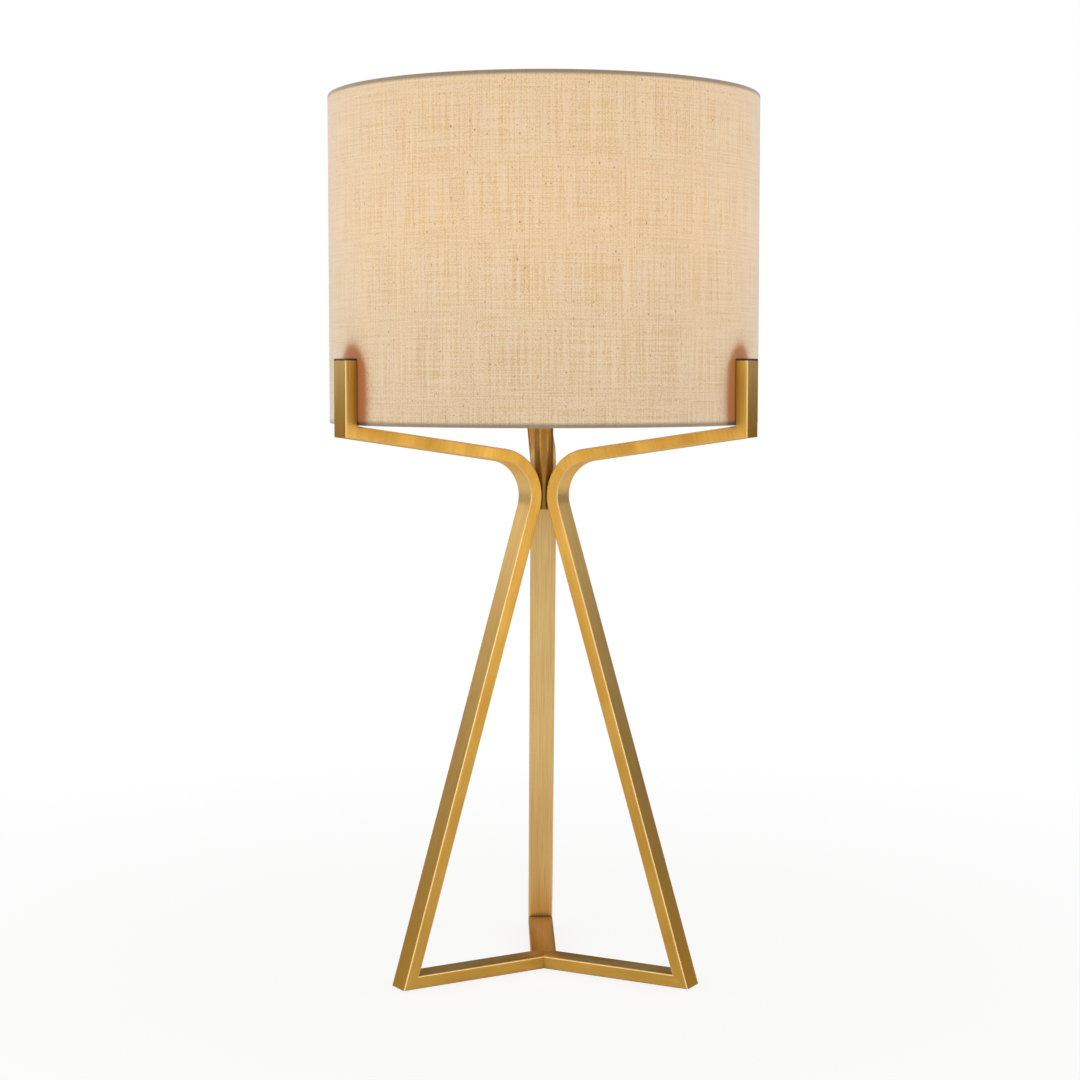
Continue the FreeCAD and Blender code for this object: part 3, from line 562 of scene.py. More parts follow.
# ABS housing of the LED bulb: white with a fine matt grain.
WHITE_ABS = Moulded("white ABS", "EFECE4", "E4E0D6", 0.42, grain=0.5 * MM, relief=0.015 * MM)
# Aluminium-core board with a white solder mask: flat white.
LED_BOARD = Moulded("white LED board", "F2F2EC", "E6E8E2", 0.5)


# ---- Modelling helpers --------------------------------------------------------------
def spun(shape: Shape, steps: int) -> Shape:
    """Sweeps an outline once round Z.

    Args:
        shape: A mesh that holds the outline alone.
        steps: Faces around.

    Returns:
        The same mesh, welded, facing outwards.
    """
    bmesh.ops.spin(shape, geom=shape.verts[:] + shape.edges[:], cent=(0, 0, 0), axis=(0, 0, 1),
                   dvec=(0, 0, 0), angle=FULL_TURN, steps=steps, use_merge=True,
                   use_duplicate=False)
    bmesh.ops.remove_doubles(shape, verts=shape.verts, dist=1e-6)
    bmesh.ops.recalc_face_normals(shape, faces=shape.faces)
    return shape


def turned(profile: Sequence[Point], steps: int = 96) -> Shape:
    """Spins a profile about Z.

    Args:
        profile: Radius and height of each point, from one end to the other.
        steps: Faces around.

    Returns:
        The mesh, welded, facing outwards.
    """
    shape = bmesh.new()
    verts = [shape.verts.new((radius, 0, height)) for radius, height in profile]
    for pair in zip(verts, verts[1:]):
        shape.edges.new(pair)
    return spun(shape, steps)


def barrel(outer: float, low: float, high: float, bore: float = 0.0) -> list[Point]:
    """Profile of a plain round piece, solid or with a bore.

    Args:
        outer: Its radius.
        low: Height of its underside.
        high: Height of its top.
        bore: Radius of its bore.

    Returns:
        The points, which come back to the first one where there is a bore.
    """
    walls = [(bore, low), (outer, low), (outer, high), (bore, high)]
    return walls + walls[:1] if bore else walls


def arc(centre: Point, radius: float, start: float, end: float, steps: int) -> list[Point]:
    """Points of a profile's round stretch.

    Args:
        centre: Radius and height of the arc's centre.
        radius: Its radius.
        start: Angle of its first point above the horizontal, in degrees.
        end: Angle of its last point.
        steps: Runs between its points.

    Returns:
        The points, both ends included.
    """
    turns = [math.radians(start + (end - start) * step / steps) for step in range(steps + 1)]
    return [(centre[0] + radius * math.cos(turn), centre[1] + radius * math.sin(turn))
            for turn in turns]


def bevelled(shape: Shape, edges: Edges, offset: float, segments: int) -> Shape:
    """Rounds some edges.

    Args:
        shape: The mesh, which is changed.
        edges: The edges.
        offset: Width of the round.
        segments: Faces across it.

    Returns:
        The same mesh.
    """
    bmesh.ops.bevel(shape, geom=edges, offset=offset, offset_type="OFFSET", affect="EDGES",
                    segments=segments, profile=0.5, material=-1, clamp_overlap=True)
    return shape


def eased(shape: Shape, offset: float, segments: int = 2, sharper: float = 35.0) -> Shape:
    """Rounds every edge that turns by more than an angle.

    Args:
        shape: The mesh, which is changed.
        offset: Width of the round.
        segments: Faces across it.
        sharper: The angle, in degrees.

    Returns:
        The same mesh.
    """
    limit = math.radians(sharper)
    edges = [edge for edge in shape.edges if edge.is_manifold and edge.calc_face_angle() > limit]
    return bevelled(shape, edges, offset, segments)


def section(corners: Sequence[Vector], rounding: float, segments: int = 4) -> Shape:
    """Outline of a rectangular tube: four corners, each rounded.

    Args:
        corners: The corners in order.
        rounding: Radius of the corners.
        segments: Runs around each one.

    Returns:
        A mesh that holds the closed outline alone.
    """
    shape = bmesh.new()
    face = shape.faces.new([shape.verts.new(corner) for corner in corners])
    bmesh.ops.bevel(shape, geom=face.verts[:], offset=rounding, offset_type="OFFSET",
                    affect="VERTICES", segments=segments, profile=0.5, material=-1)
    bmesh.ops.delete(shape, geom=shape.faces[:], context="FACES_ONLY")
    return shape


def drawn_on(shape: Shape, ring: Edges, by: Vector) -> Edges:
    """Extrudes an open end in a straight line.

    Args:
        shape: The mesh.
        ring: Edges of the open end.
        by: How far and which way.

    Returns:
        Edges of the new end.
    """
    made = bmesh.ops.extrude_edge_only(shape, edges=ring)["geom"]
    verts = [item for item in made if isinstance(item, bmesh.types.BMVert)]
    bmesh.ops.translate(shape, verts=verts, vec=by)
    fresh = set(verts)
    return [item for item in made if isinstance(item, bmesh.types.BMEdge)
            and set(item.verts) <= fresh]


def bent_on(shape: Shape, ring: Edges, centre: Vector, axis: Vector, angle: float,
            steps: int) -> Edges:
    """Carries an open end round a bend.

    Args:
        shape: The mesh.
        ring: Edges of the open end.
        centre: Centre of the bend.
        axis: Axis of the bend.
        angle: How far it turns, in radians.
        steps: Runs along the bend.

    Returns:
        Edges of the new end.
    """
    verts = list({vert for edge in ring for vert in edge.verts})
    made = bmesh.ops.spin(shape, geom=verts + ring, cent=centre, axis=axis, dvec=(0, 0, 0),
                          angle=angle, steps=steps, use_merge=False, use_duplicate=False)
    return [item for item in made["geom_last"] if isinstance(item, bmesh.types.BMEdge)]


def capped(shape: Shape) -> Shape:
    """Closes every open end and points the faces outwards.

    Args:
        shape: The mesh, which is changed.

    Returns:
        The same mesh.
    """
    bmesh.ops.remove_doubles(shape, verts=shape.verts, dist=1e-7)
    rims = [edge for edge in shape.edges if edge.is_boundary]
    bmesh.ops.holes_fill(shape, edges=rims, sides=0)
    bmesh.ops.recalc_face_normals(shape, faces=shape.faces)
    return shape


def trimmed(shape: Shape, point: Vector, outward: Vector) -> None:
    """Cuts off what lies beyond a plane."""
    everything = shape.verts[:] + shape.edges[:] + shape.faces[:]
    bmesh.ops.bisect_plane(shape, geom=everything, dist=1e-7, plane_co=point, plane_no=outward,
                           clear_outer=True, clear_inner=False)


def wire_along(points: Sequence[Vector], bends: Sequence[float], radius: float,
               around: int = 24, step: float = 6.0) -> Shape:
    """Round wire along straight runs, with a tangent bend at each inner point.

    Args:
        points: Ends and corners of the route.
        bends: Radius of the bend at each corner.
        radius: Radius of the wire.
        around: Faces around the wire.
        step: Turn of each run along a bend, in degrees.

    Returns:
        The closed mesh.
    """
    shape = bmesh.new()
    facing = (points[1] - points[0]).normalized().to_track_quat("Z", "Y").to_matrix().to_4x4()
    bmesh.ops.create_circle(shape, cap_ends=False, segments=around, radius=radius,
                            matrix=Matrix.Translation(points[0]) @ facing)
    ring = shape.edges[:]
    here = points[0]
    for corner, bend, following in zip(points[1:-1], bends, points[2:]):
        inward = (corner - here).normalized()
        outward = (following - corner).normalized()
        turn = inward.angle(outward)
        reach = bend * math.tan(turn / 2)
        start = corner - inward * reach
        ring = drawn_on(shape, ring, start - here)
        axis = inward.cross(outward).normalized()
        centre = start + axis.cross(inward) * bend
        ring = bent_on(shape, ring, centre, axis, turn, max(3, round(math.degrees(turn) / step)))
        here = corner + outward * reach
    drawn_on(shape, ring, points[-1] - here)
    return capped(shape)


def mesh_of(name: str, shape: Shape, *materials: bpy.types.Material) -> bpy.types.Mesh:
    """Turns a shape to mesh data, and frees it.

    Args:
        name: Name of the mesh.
        shape: The shape.
        materials: Its materials.

    Returns:
        The mesh.
    """
    mesh = bpy.data.meshes.new(name)
    shape.to_mesh(mesh)
    shape.free()
    for material in materials:
        mesh.materials.append(material)
    return mesh


def shown(name: str, data: bpy.types.ID) -> bpy.types.Object:
    """Adds an object to the scene.

    Args:
        name: Name of the object.
        data: The mesh, light or camera that it shows.

    Returns:
        The object.
    """
    thing = bpy.data.objects.new(name, data)
    bpy.context.scene.collection.objects.link(thing)
    return thing


def joined(*shapes: Shape) -> Shape:
    """Puts several shapes into one and frees the others.

    Args:
        shapes: The shapes.

    Returns:
        The one shape.
    """
    whole = bmesh.new()
    for shape in shapes:
        part = mesh_of("part", shape)
        whole.from_mesh(part)
        bpy.data.meshes.remove(part)
    return whole


class Bench:
    """Where finished meshes become the lamp's pieces.

    A piece that is made for a node rides on the node's body and replaces it.
    """

    def __init__(self) -> None:
        """Reads each node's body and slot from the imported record."""
        record = frame["record"]
        self.bodies = {node: body for body, nodes in record["behaviour"]["bodies"].items()
                       for node in nodes}
        self.slots = {part["node"]: part["material_slot"] for part in record["subparts"]}
        self.coats: dict[Finish, bpy.types.Material] = {}

    def coat(self, finish: Finish) -> bpy.types.Material:
        """The finish's material, made once.

        Args:
            finish: The finish.

        Returns:
            Its material.
        """
        if finish not in self.coats:
            self.coats[finish] = finish.material()
        return self.coats[finish]

    def deliver(self, node: str, shape: Shape, finish: Finish, smooth: float = 35.0
                ) -> bpy.types.Object:
        """Makes the piece that stands for a node.

        Args:
            node: Name of the CAD node.
            shape: The finished mesh, which is freed.
            finish: The finish of the piece.
            smooth: Edges that turn by more than this many degrees stay sharp.

        Returns:
            The new object.
        """
        mesh = mesh_of(node + "_mesh", shape, self.coat(finish))
        mesh.shade_smooth()
        mesh.set_sharp_from_angle(angle=math.radians(smooth))
        piece = shown(node + "_finished", mesh)
        flats = piece.modifiers.new("flat faces", "WEIGHTED_NORMAL")
        flats.keep_sharp = True
        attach(piece, self.bodies[node])
        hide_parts(node)
        LOG.info("%s: %d faces", piece.name, len(mesh.polygons))
        return piece

    def recoat(self, finish: Finish, *nodes: str, smooth: float = 30.0) -> None:
        """Gives small CAD pieces smooth shading and their finish, on a welded copy.

        Args:
            finish: The finish of the pieces.
            nodes: Names of the CAD nodes.
            smooth: Edges that turn by more than this many degrees stay sharp.
        """
        for node in nodes:
            shape = bmesh.new()
            shape.from_mesh(frame["nodes"][node].data)
            bmesh.ops.remove_doubles(shape, verts=shape.verts, dist=1e-6)
            self.deliver(node, shape, finish, smooth)


# ---- The tripod ---------------------------------------------------------------------
@dataclass
class TubeSizes:
    """The rectangular tube that the frame is made of."""

    width: float = 21.4 * MM
    depth: float = 10.5 * MM
    corner: float = 1.1 * MM


@dataclass
class TripodFrame(TubeSizes):
    """Nine rectangular tubes: three base bars, three bent legs with arms, three uprights.

    A leg is drawn in the XZ plane, running out along +X, and turned to its place.
    """

    foot_reach: float = 138.9 * MM
    bend_radius: float = 29.5 * MM
    weld_gap: float = 0.05 * MM
    arm_slope: float = math.radians(8.5)
    seat_gap: float = 0.3 * MM
    half_wedge: float = math.radians(60)
    spill: float = 30 * MM
    bend_steps: int = 28
    seam: float = 0.04 * MM
    seam_angle: float = 40.0
    cord_hole: float = 4.9 * MM
    hole_sides: int = 48

    def __post_init__(self) -> None:
        """Works the tube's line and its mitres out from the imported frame."""
        self.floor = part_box("rear_foot_pad")[1].z
        self.upright_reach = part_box("rear_upright")[0].y
        self.tube_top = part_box("rear_upright")[1].z
        corner = Vector((self.upright_reach, 0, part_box("shade_cover")[0].z - self.seat_gap))
        self.arm_out = Vector((math.sin(self.arm_slope), 0, -math.cos(self.arm_slope)))
        self.arm_level = corner.dot(self.arm_out) + self.depth
        bend_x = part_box("stem")[1].x + self.weld_gap + self.depth + self.bend_radius
        bend_z = (bend_x * self.arm_out.x - self.arm_level - self.bend_radius) / -self.arm_out.z
        self.bend = Vector((bend_x, 0, bend_z))
        foot = Vector((self.foot_reach, 0, self.floor))
        to_bend = self.bend - foot
        lean = math.atan2(to_bend.z, to_bend.x) - math.acos(self.bend_radius / to_bend.length)
        self.leg_out = Vector((math.cos(lean), 0, math.sin(lean)))
        self.leg_level = foot.dot(self.leg_out)
        self.bend_turn = lean + math.pi / 2 - self.arm_slope
        self.top_joint = self.mitre(self.arm_line(0.0, self.upright_reach + self.depth),
                                    self.arm_line(self.depth, self.upright_reach))
        self.foot_joint = self.mitre(self.leg_line(0.0, self.floor),
                                     self.leg_line(self.depth, self.floor + self.depth))

    def leg_line(self, depth: float, height: float) -> Vector:
        """Point of the leg at a depth inside its outer face and at a height."""
        reach = (self.leg_level - depth - height * self.leg_out.z) / self.leg_out.x
        return Vector((reach, 0, height))

    def arm_line(self, depth: float, reach: float) -> Vector:
        """Point of the arm at a depth above its underside and at a reach."""
        height = (self.arm_level - depth - reach * self.arm_out.x) / self.arm_out.z
        return Vector((reach, 0, height))

    def mitre(self, low: Vector, high: Vector) -> tuple[Vector, Vector]:
        """A point of the plane through two corners of a joint, and its normal."""
        slope = (high - low).normalized()
        return low, Vector((slope.z, 0, -slope.x))

    def open_section(self, middle: Vector, outward: Vector) -> Shape:
        """The tube's outline, square to its run.

        Args:
            middle: A point of the tube's middle line.
            outward: The outer face's normal.

        Returns:
            A mesh that holds the outline alone.
        """
        across, deep = Vector((0, self.width / 2, 0)), outward * (self.depth / 2)
        corners = [middle + deep + across, middle + deep - across,
                   middle - deep - across, middle - deep + across]
        return section(corners, self.corner)

    def finished(self, shape: Shape, leg: Leg, middle: Vector, outward: Vector) -> Shape:
        """Closes a tube, gives it its run and edge attributes, and turns it to its leg.

        Args:
            shape: The tube, drawn along +X.
            leg: The leg that it belongs to.
            middle: A point of its middle line.
            outward: Its outer face's normal.

        Returns:
            The same mesh.
        """
        eased(capped(shape), self.seam, 1, self.seam_angle)
        run = shape.verts.layers.float_vector.new("run")
        edge = shape.verts.layers.float.new("edge")
        along = Vector((-outward.z, 0, outward.x))
        inner, outer = self.width / 2 - self.corner, self.width / 2 - 1e-6
        for vert in shape.verts:
            offset = vert.co - middle
            vert[run] = Vector((offset.dot(along), vert.co.y, offset.dot(outward)))
            vert[edge] = 1.0 if inner < abs(vert.co.y) < outer else 0.0
        bmesh.ops.transform(shape, matrix=leg.turn, verts=shape.verts)
        return shape

    def base_bar(self, leg: Leg) -> Shape:
        """Flat bar from the lamp's middle to the foot, mitred at both ends.

        Args:
            leg: The leg that it belongs to.

        Returns:
            The finished mesh.
        """
        up = Vector((0, 0, 1))
        middle = Vector((-self.spill, 0, self.floor + self.depth / 2))
        shape = self.open_section(middle, up)
        drawn_on(shape, shape.edges[:], Vector((self.foot_reach + 2 * self.spill, 0, 0)))
        trimmed(shape, *self.foot_joint)
        for side in (1, -1):
            normal = Vector((-math.sin(self.half_wedge), side * math.cos(self.half_wedge), 0))
            trimmed(shape, Vector((0, 0, 0)), normal)
        return self.finished(shape, leg, middle, up)

    def bent_leg(self, leg: Leg) -> Shape:
        """Leg, bend and arm: one tube, bent at the waist.

        Args:
            leg: The leg that it belongs to.

        Returns:
            The finished mesh.
        """
        up = Vector((-self.leg_out.z, 0, self.leg_out.x))
        outwards = Vector((-self.arm_out.z, 0, self.arm_out.x))
        half = self.depth / 2
        start = self.leg_line(half, self.floor - self.spill)
        bend_start = self.bend - self.leg_out * (self.bend_radius + half)
        bend_end = self.bend - self.arm_out * (self.bend_radius + half)
        arm_end = self.arm_line(half, self.upright_reach + self.depth + self.spill)
        shape = self.open_section(start, self.leg_out)
        ring = drawn_on(shape, shape.edges[:], up * (bend_start - start).length)
        ring = bent_on(shape, ring, self.bend, Vector((0, 1, 0)), self.bend_turn, self.bend_steps)
        drawn_on(shape, ring, outwards * (arm_end - bend_end).length)
        trimmed(shape, self.foot_joint[0], -self.foot_joint[1])
        trimmed(shape, *self.top_joint)
        return self.finished(shape, leg, start, self.leg_out)

    def upright(self, leg: Leg) -> Shape:
        """Short post that holds the shade, closed by its end cap.

        Args:
            leg: The leg that it belongs to.

        Returns:
            The finished mesh.
        """
        side = Vector((1, 0, 0))
        bottom = Vector((self.upright_reach + self.depth / 2, 0,
                         self.arm_line(0.0, self.upright_reach).z - self.spill))
        shape = self.open_section(bottom, side)
        drawn_on(shape, shape.edges[:], Vector((0, 0, self.tube_top - bottom.z)))
        trimmed(shape, self.top_joint[0], -self.top_joint[1])
        return self.finished(shape, leg, bottom, side)

    def drill(self, tube: bpy.types.Object) -> None:
        """Cuts the hole that the cord's bushing sits in.

        Args:
            tube: The rear leg.
        """
        low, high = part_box("cord_grommet")
        middle = (low + high) / 2
        reach = Leg.REAR.turn.to_3x3() @ self.leg_out * self.depth / 2
        bit = wire_along([middle - reach, middle + 2 * reach], [], self.cord_hole, self.hole_sides)
        cutter = shown("drill", mesh_of("drill", bit))
        hole = tube.modifiers.new("cord hole", "BOOLEAN")
        hole.operation, hole.solver, hole.object = "DIFFERENCE", "EXACT", cutter
        tube.modifiers.move(len(tube.modifiers) - 1, 0)
        graph = bpy.context.evaluated_depsgraph_get()
        cut = bpy.data.meshes.new_from_object(tube.evaluated_get(graph), depsgraph=graph)
        tube.modifiers.clear()
        tube.data = cut
        bpy.data.objects.remove(cutter)

    def build(self, bench: Bench) -> None:
        """Makes the nine tubes.

        Args:
            bench: Where the pieces are delivered.
        """
        brass = SatinBrass()
        for leg in Leg:
            bench.deliver(leg.title + "_base_bar", self.base_bar(leg), brass)
            bench.deliver(leg.title + "_upright", self.upright(leg), brass)
            tube = bench.deliver(leg.title + "_leg", self.bent_leg(leg), brass)
            if leg is Leg.REAR:
                self.drill(tube)


@dataclass
class FrameFittings(TubeSizes):
    """End caps, foot pads and the cord's bushing."""

    head: float = 1.6 * MM
    dome: float = 0.9 * MM
    plug_inset: float = 1.25 * MM
    plug_length: float = 11 * MM
    pad_round: float = 0.25 * MM

    def end_cap(self, leg: Leg) -> Shape:
        """Domed plug in the top of an upright.

        Args:
            leg: The leg that it belongs to.

        Returns:
            The finished mesh.
        """
        near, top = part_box("rear_upright")[0].y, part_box("rear_upright")[1].z
        far, across = near + self.depth, self.width / 2
        corners = [Vector((near, -across, top)), Vector((far, -across, top)),
                   Vector((far, across, top)), Vector((near, across, top))]
        shape = section(corners, self.corner)
        drawn_on(shape, shape.edges[:], Vector((0, 0, self.head)))
        capped(shape)
        lid = max(shape.faces, key=lambda face: face.calc_center_median().z)
        bevelled(shape, lid.edges[:], self.dome, 4)
        under = min(shape.faces, key=lambda face: face.calc_center_median().z)
        bmesh.ops.inset_individual(shape, faces=[under], thickness=self.plug_inset)
        plug = bmesh.ops.extrude_discrete_faces(shape, faces=[under])["faces"]
        bmesh.ops.translate(shape, verts=plug[0].verts[:], vec=(0, 0, -self.plug_length))
        bmesh.ops.recalc_face_normals(shape, faces=shape.faces)
        bmesh.ops.transform(shape, matrix=leg.turn, verts=shape.verts)
        return shape

    def foot_pad(self, leg: Leg) -> Shape:
        """Round pad under a foot.

        Args:
            leg: The leg that it belongs to.

        Returns:
            The finished mesh.
        """
        low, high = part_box(leg.title + "_foot_pad")
        middle = (low + high) / 2
        shape = eased(turned(barrel((high.x - low.x) / 2, low.z, high.z), 48), self.pad_round)
        bmesh.ops.translate(shape, verts=shape.verts, vec=(middle.x, middle.y, 0))
        return shape

    def build(self, bench: Bench) -> None:
        """Makes the caps and pads, and finishes the bushing.

        Args:
            bench: Where the pieces are delivered.
        """
        for leg in Leg:
            bench.deliver(leg.title + "_end_cap", self.end_cap(leg), BLACK_NYLON)
            bench.deliver(leg.title + "_foot_pad", self.foot_pad(leg), FOOT_RUBBER)
        bench.recoat(BLACK_NYLON, "cord_grommet")


# ---- Stem ---------------------------------------------------------------------------
@dataclass
class StemStack:
    """Stem between the bends, its bottom cap, and the ring, nut and pipe on top of it."""

    lip: float = 0.5 * MM
    cap_round: float = 0.8 * MM

    def bottom_cap(self) -> Shape:
        """Shallow dome under the stem.

        Returns:
            The finished mesh.
        """
        low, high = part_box("stem_bottom_cap")
        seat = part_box("stem")[0].z
        centre = (high.x - self.cap_round, low.z + self.cap_round)
        rim = arc(centre, self.cap_round, -90, 0, 5)
        return turned([(0, low.z)] + rim + [(high.x, seat), (0, seat)], 64)

    def plain(self, node: str, offset: float, segments: int) -> Shape:
        """Plain round piece in a node's place, with eased ends."""
        low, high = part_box(node)
        return eased(turned(barrel(high.x, low.z, high.z)), offset, segments)

    def build(self, bench: Bench) -> None:
        """Makes the stem, its cap and the ring under the saddle, and finishes the rest.

        Args:
            bench: Where the pieces are delivered.
        """
        bench.deliver("stem", self.plain("stem", self.lip / 2, 2), TURNED_BRASS)
        bench.deliver("stem_bottom_cap", self.bottom_cap(), TURNED_BRASS)
        bench.deliver("check_ring", self.plain("check_ring", self.lip, 3), TURNED_BRASS)
        bench.recoat(ZINC, "lock_nut", "threaded_nipple")


# ---- Lampholder ---------------------------------------------------------------------
@dataclass
class Lampholder:
    """Pressed brass cap and shell with their insides, and the rotary switch.

    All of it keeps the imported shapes.
    """

    smooth: float = 30.0

    def build(self, bench: Bench) -> None:
        """Finishes the pieces.

        Args:
            bench: Where the pieces are delivered.
        """
        for finish, *nodes in (
                (SHEET_BRASS, "socket_cap", "socket_shell"), (FIBRE, "socket_liner"),
                (PHENOLIC, "socket_body"),
                (SHEET_BRASS, "socket_screw_shell", "socket_contact", "terminal_screws"),
                (ZINC, "switch_shaft"), (PHENOLIC, "switch_knob")):
            bench.recoat(finish, *nodes, smooth=self.smooth)


# ---- Bulb ---------------------------------------------------------------------------
@dataclass
class LedBulb:
    """LED bulb: contact, insulator, threaded cap, housing, board and opal dome."""

    thread_pitch: float = 3.63 * MM
    thread_depth: float = 0.85 * MM
    thread_margin: float = 2.5 * MM
    thread_steps: int = 8
    taper_share: float = 0.8
    wall: float = 1.5 * MM
    neck_step: float = 0.5 * MM
    flare_steps: int = 16
    flare_power: float = 1.25
    widest: float = 12 * MM
    rim_groove: float = 0.5 * MM

    def cap(self) -> Shape:
        """Screw cap with rolled thread ridges.

        Returns:
            The finished mesh.
        """
        low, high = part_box("bulb_cap")
        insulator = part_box("bulb_insulator")[1].x
        taper, root = high.x - insulator, high.x - self.thread_depth
        start, end = low.z + taper + self.thread_margin / 2, high.z - self.thread_margin
        turns = int((end - start) / self.thread_pitch)
        profile = [(insulator, low.z), (root, low.z + taper * self.taper_share)]
        for step in range(turns * self.thread_steps + 1):
            swing = (1 - math.cos(FULL_TURN * step / self.thread_steps)) / 2
            height = start + self.thread_pitch * step / self.thread_steps
            profile.append((high.x - self.thread_depth * (1 - swing), height))
        profile += [(high.x, end + self.thread_margin / 2), (high.x, high.z)]
        return turned(profile)

    def housing(self) -> Shape:
        """White housing that flares from the cap to the dome.

        Returns:
            The finished mesh.
        """
        low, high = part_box("bulb_housing")
        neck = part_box("bulb_cap")[1].x + self.neck_step
        profile = [(neck - self.wall, low.z), (neck, low.z)]
        for step in range(1, self.flare_steps + 1):
            share = step / self.flare_steps
            flare = math.sin(share * math.pi / 2) ** self.flare_power
            profile.append((neck + (high.x - neck) * flare, low.z + (high.z - low.z) * share))
        return turned(profile + [(high.x - self.rim_groove, high.z), (0, high.z)])

    def dome(self) -> Shape:
        """Opal dome, a little more than half a ball.

        Returns:
            The finished mesh.
        """
        low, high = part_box("bulb_diffuser")
        start = -math.degrees(math.asin(self.widest / high.x))
        return turned([(0, low.z)] + arc((0.0, low.z + self.widest), high.x, start, 90, 24))

    def build(self, bench: Bench) -> None:
        """Makes the bulb.

        Args:
            bench: Where the pieces are delivered.
        """
        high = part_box("bulb_diffuser")[1]
        # Opal polycarbonate over the lit LEDs: an even warm white.
        opal = LitPlastic("lit opal polycarbonate", "E6DECF", "FFD29A", 0.45, high.z - high.x,
                          high.x * 1.6, 0.75, 0.35)
        bench.deliver("bulb_cap", self.cap(), NICKEL, 40)
        bench.deliver("bulb_housing", self.housing(), WHITE_ABS)
        bench.deliver("bulb_diffuser", self.dome(), opal)
        bench.recoat(NICKEL, "bulb_contact")
        bench.recoat(BLACK_GLASS, "bulb_insulator")
        bench.recoat(LED_BOARD, "bulb_led_plate")


# ---- Harp and finial ----------------------------------------------------------------
@dataclass
class Harp:
    """Wire bow on its saddle, with its stud, ferrules and finial."""

    wire: float = 2 * MM
    foot: float = 36 * MM
    half_width: float = 54 * MM
    straight: float = 36 * MM
    flare: float = 42 * MM
    shoulder_drop: float = 46 * MM
    top_half_width: float = 12 * MM
    bends: tuple[float, ...] = (40 * MM, 70 * MM, 58 * MM, 15 * MM)
    pad_thickness: float = 3 * MM
    pad_radius: float = 8.5 * MM
    pad_round: float = 0.8 * MM
    ferrule_waist: float = 0.4 * MM
    ferrule_lip: float = 2.5 * MM
    ferrule_round: float = 0.3 * MM
    finial_bore: float = 3.2 * MM
    finial_neck: float = 4.6 * MM
    finial_ball: float = 8 * MM
    finial_base: float = 5 * MM
    finial_chamfer: Point = (0.5 * MM, 0.6 * MM)

    def bow(self) -> Shape:
        """The bent wire and the flattened pad at its top.

        Returns:
            The finished mesh.
        """
        low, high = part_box("harp")
        top = high.z - self.wire
        flare_end = low.z + self.straight + self.flare
        left = [(-self.foot, low.z), (-self.foot, low.z + self.straight),
                (-self.half_width, flare_end), (-self.half_width, top - self.shoulder_drop),
                (-self.top_half_width, top)]
        right = [(-x, z) for x, z in reversed(left)]
        route = [Vector((x, 0, z)) for x, z in left + right]
        wire = wire_along(route, self.bends + self.bends[::-1], self.wire)
        half = self.pad_thickness / 2
        pad = turned(barrel(self.pad_radius, top - half, top + half), 64)
        return joined(wire, eased(pad, self.pad_round, 3))

    def ferrule(self, node: str) -> Shape:
        """Slip ring with a waist and rounded ends.

        Args:
            node: Name of its CAD node.

        Returns:
            The finished mesh.
        """
        low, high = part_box(node)
        radius, middle = (high.x - low.x) / 2, (low + high) / 2
        waist = radius - self.ferrule_waist
        lower, upper = low.z + self.ferrule_lip, high.z - self.ferrule_lip
        profile = [(self.wire, low.z), (radius, low.z), (radius, lower), (waist, lower),
                   (waist, upper), (radius, upper), (radius, high.z), (self.wire, high.z)]
        shape = eased(turned(profile + profile[:1], 48), self.ferrule_round)
        bmesh.ops.translate(shape, verts=shape.verts, vec=(middle.x, middle.y, 0))
        return shape

    def finial(self) -> Shape:
        """Turned nut: a stepped base, a neck and a ball.

        Returns:
            The finished mesh.
        """
        low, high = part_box("finial")
        step = low.z + self.finial_base / 2
        inset, drop = self.finial_chamfer
        start = -math.degrees(math.acos(self.finial_neck / self.finial_ball))
        ball = arc((0.0, high.z - self.finial_ball), self.finial_ball, start, 90, 20)
        return turned([(self.finial_bore, low.z), (high.x, low.z), (high.x, step - drop),
                       (high.x - inset, step), (self.finial_neck, low.z + self.finial_base)]
                      + ball[1:])

    def build(self, bench: Bench) -> None:
        """Makes the harp and finishes the saddle and the stud.

        Args:
            bench: Where the pieces are delivered.
        """
        bench.deliver("harp", self.bow(), BRASS_PLATE)
        for node in ("left_harp_ferrule", "right_harp_ferrule"):
            bench.deliver(node, self.ferrule(node), BRASS_PLATE)
        bench.deliver("finial", self.finial(), TURNED_BRASS)
        bench.recoat(BRASS_PLATE, "harp_saddle", "harp_stud")


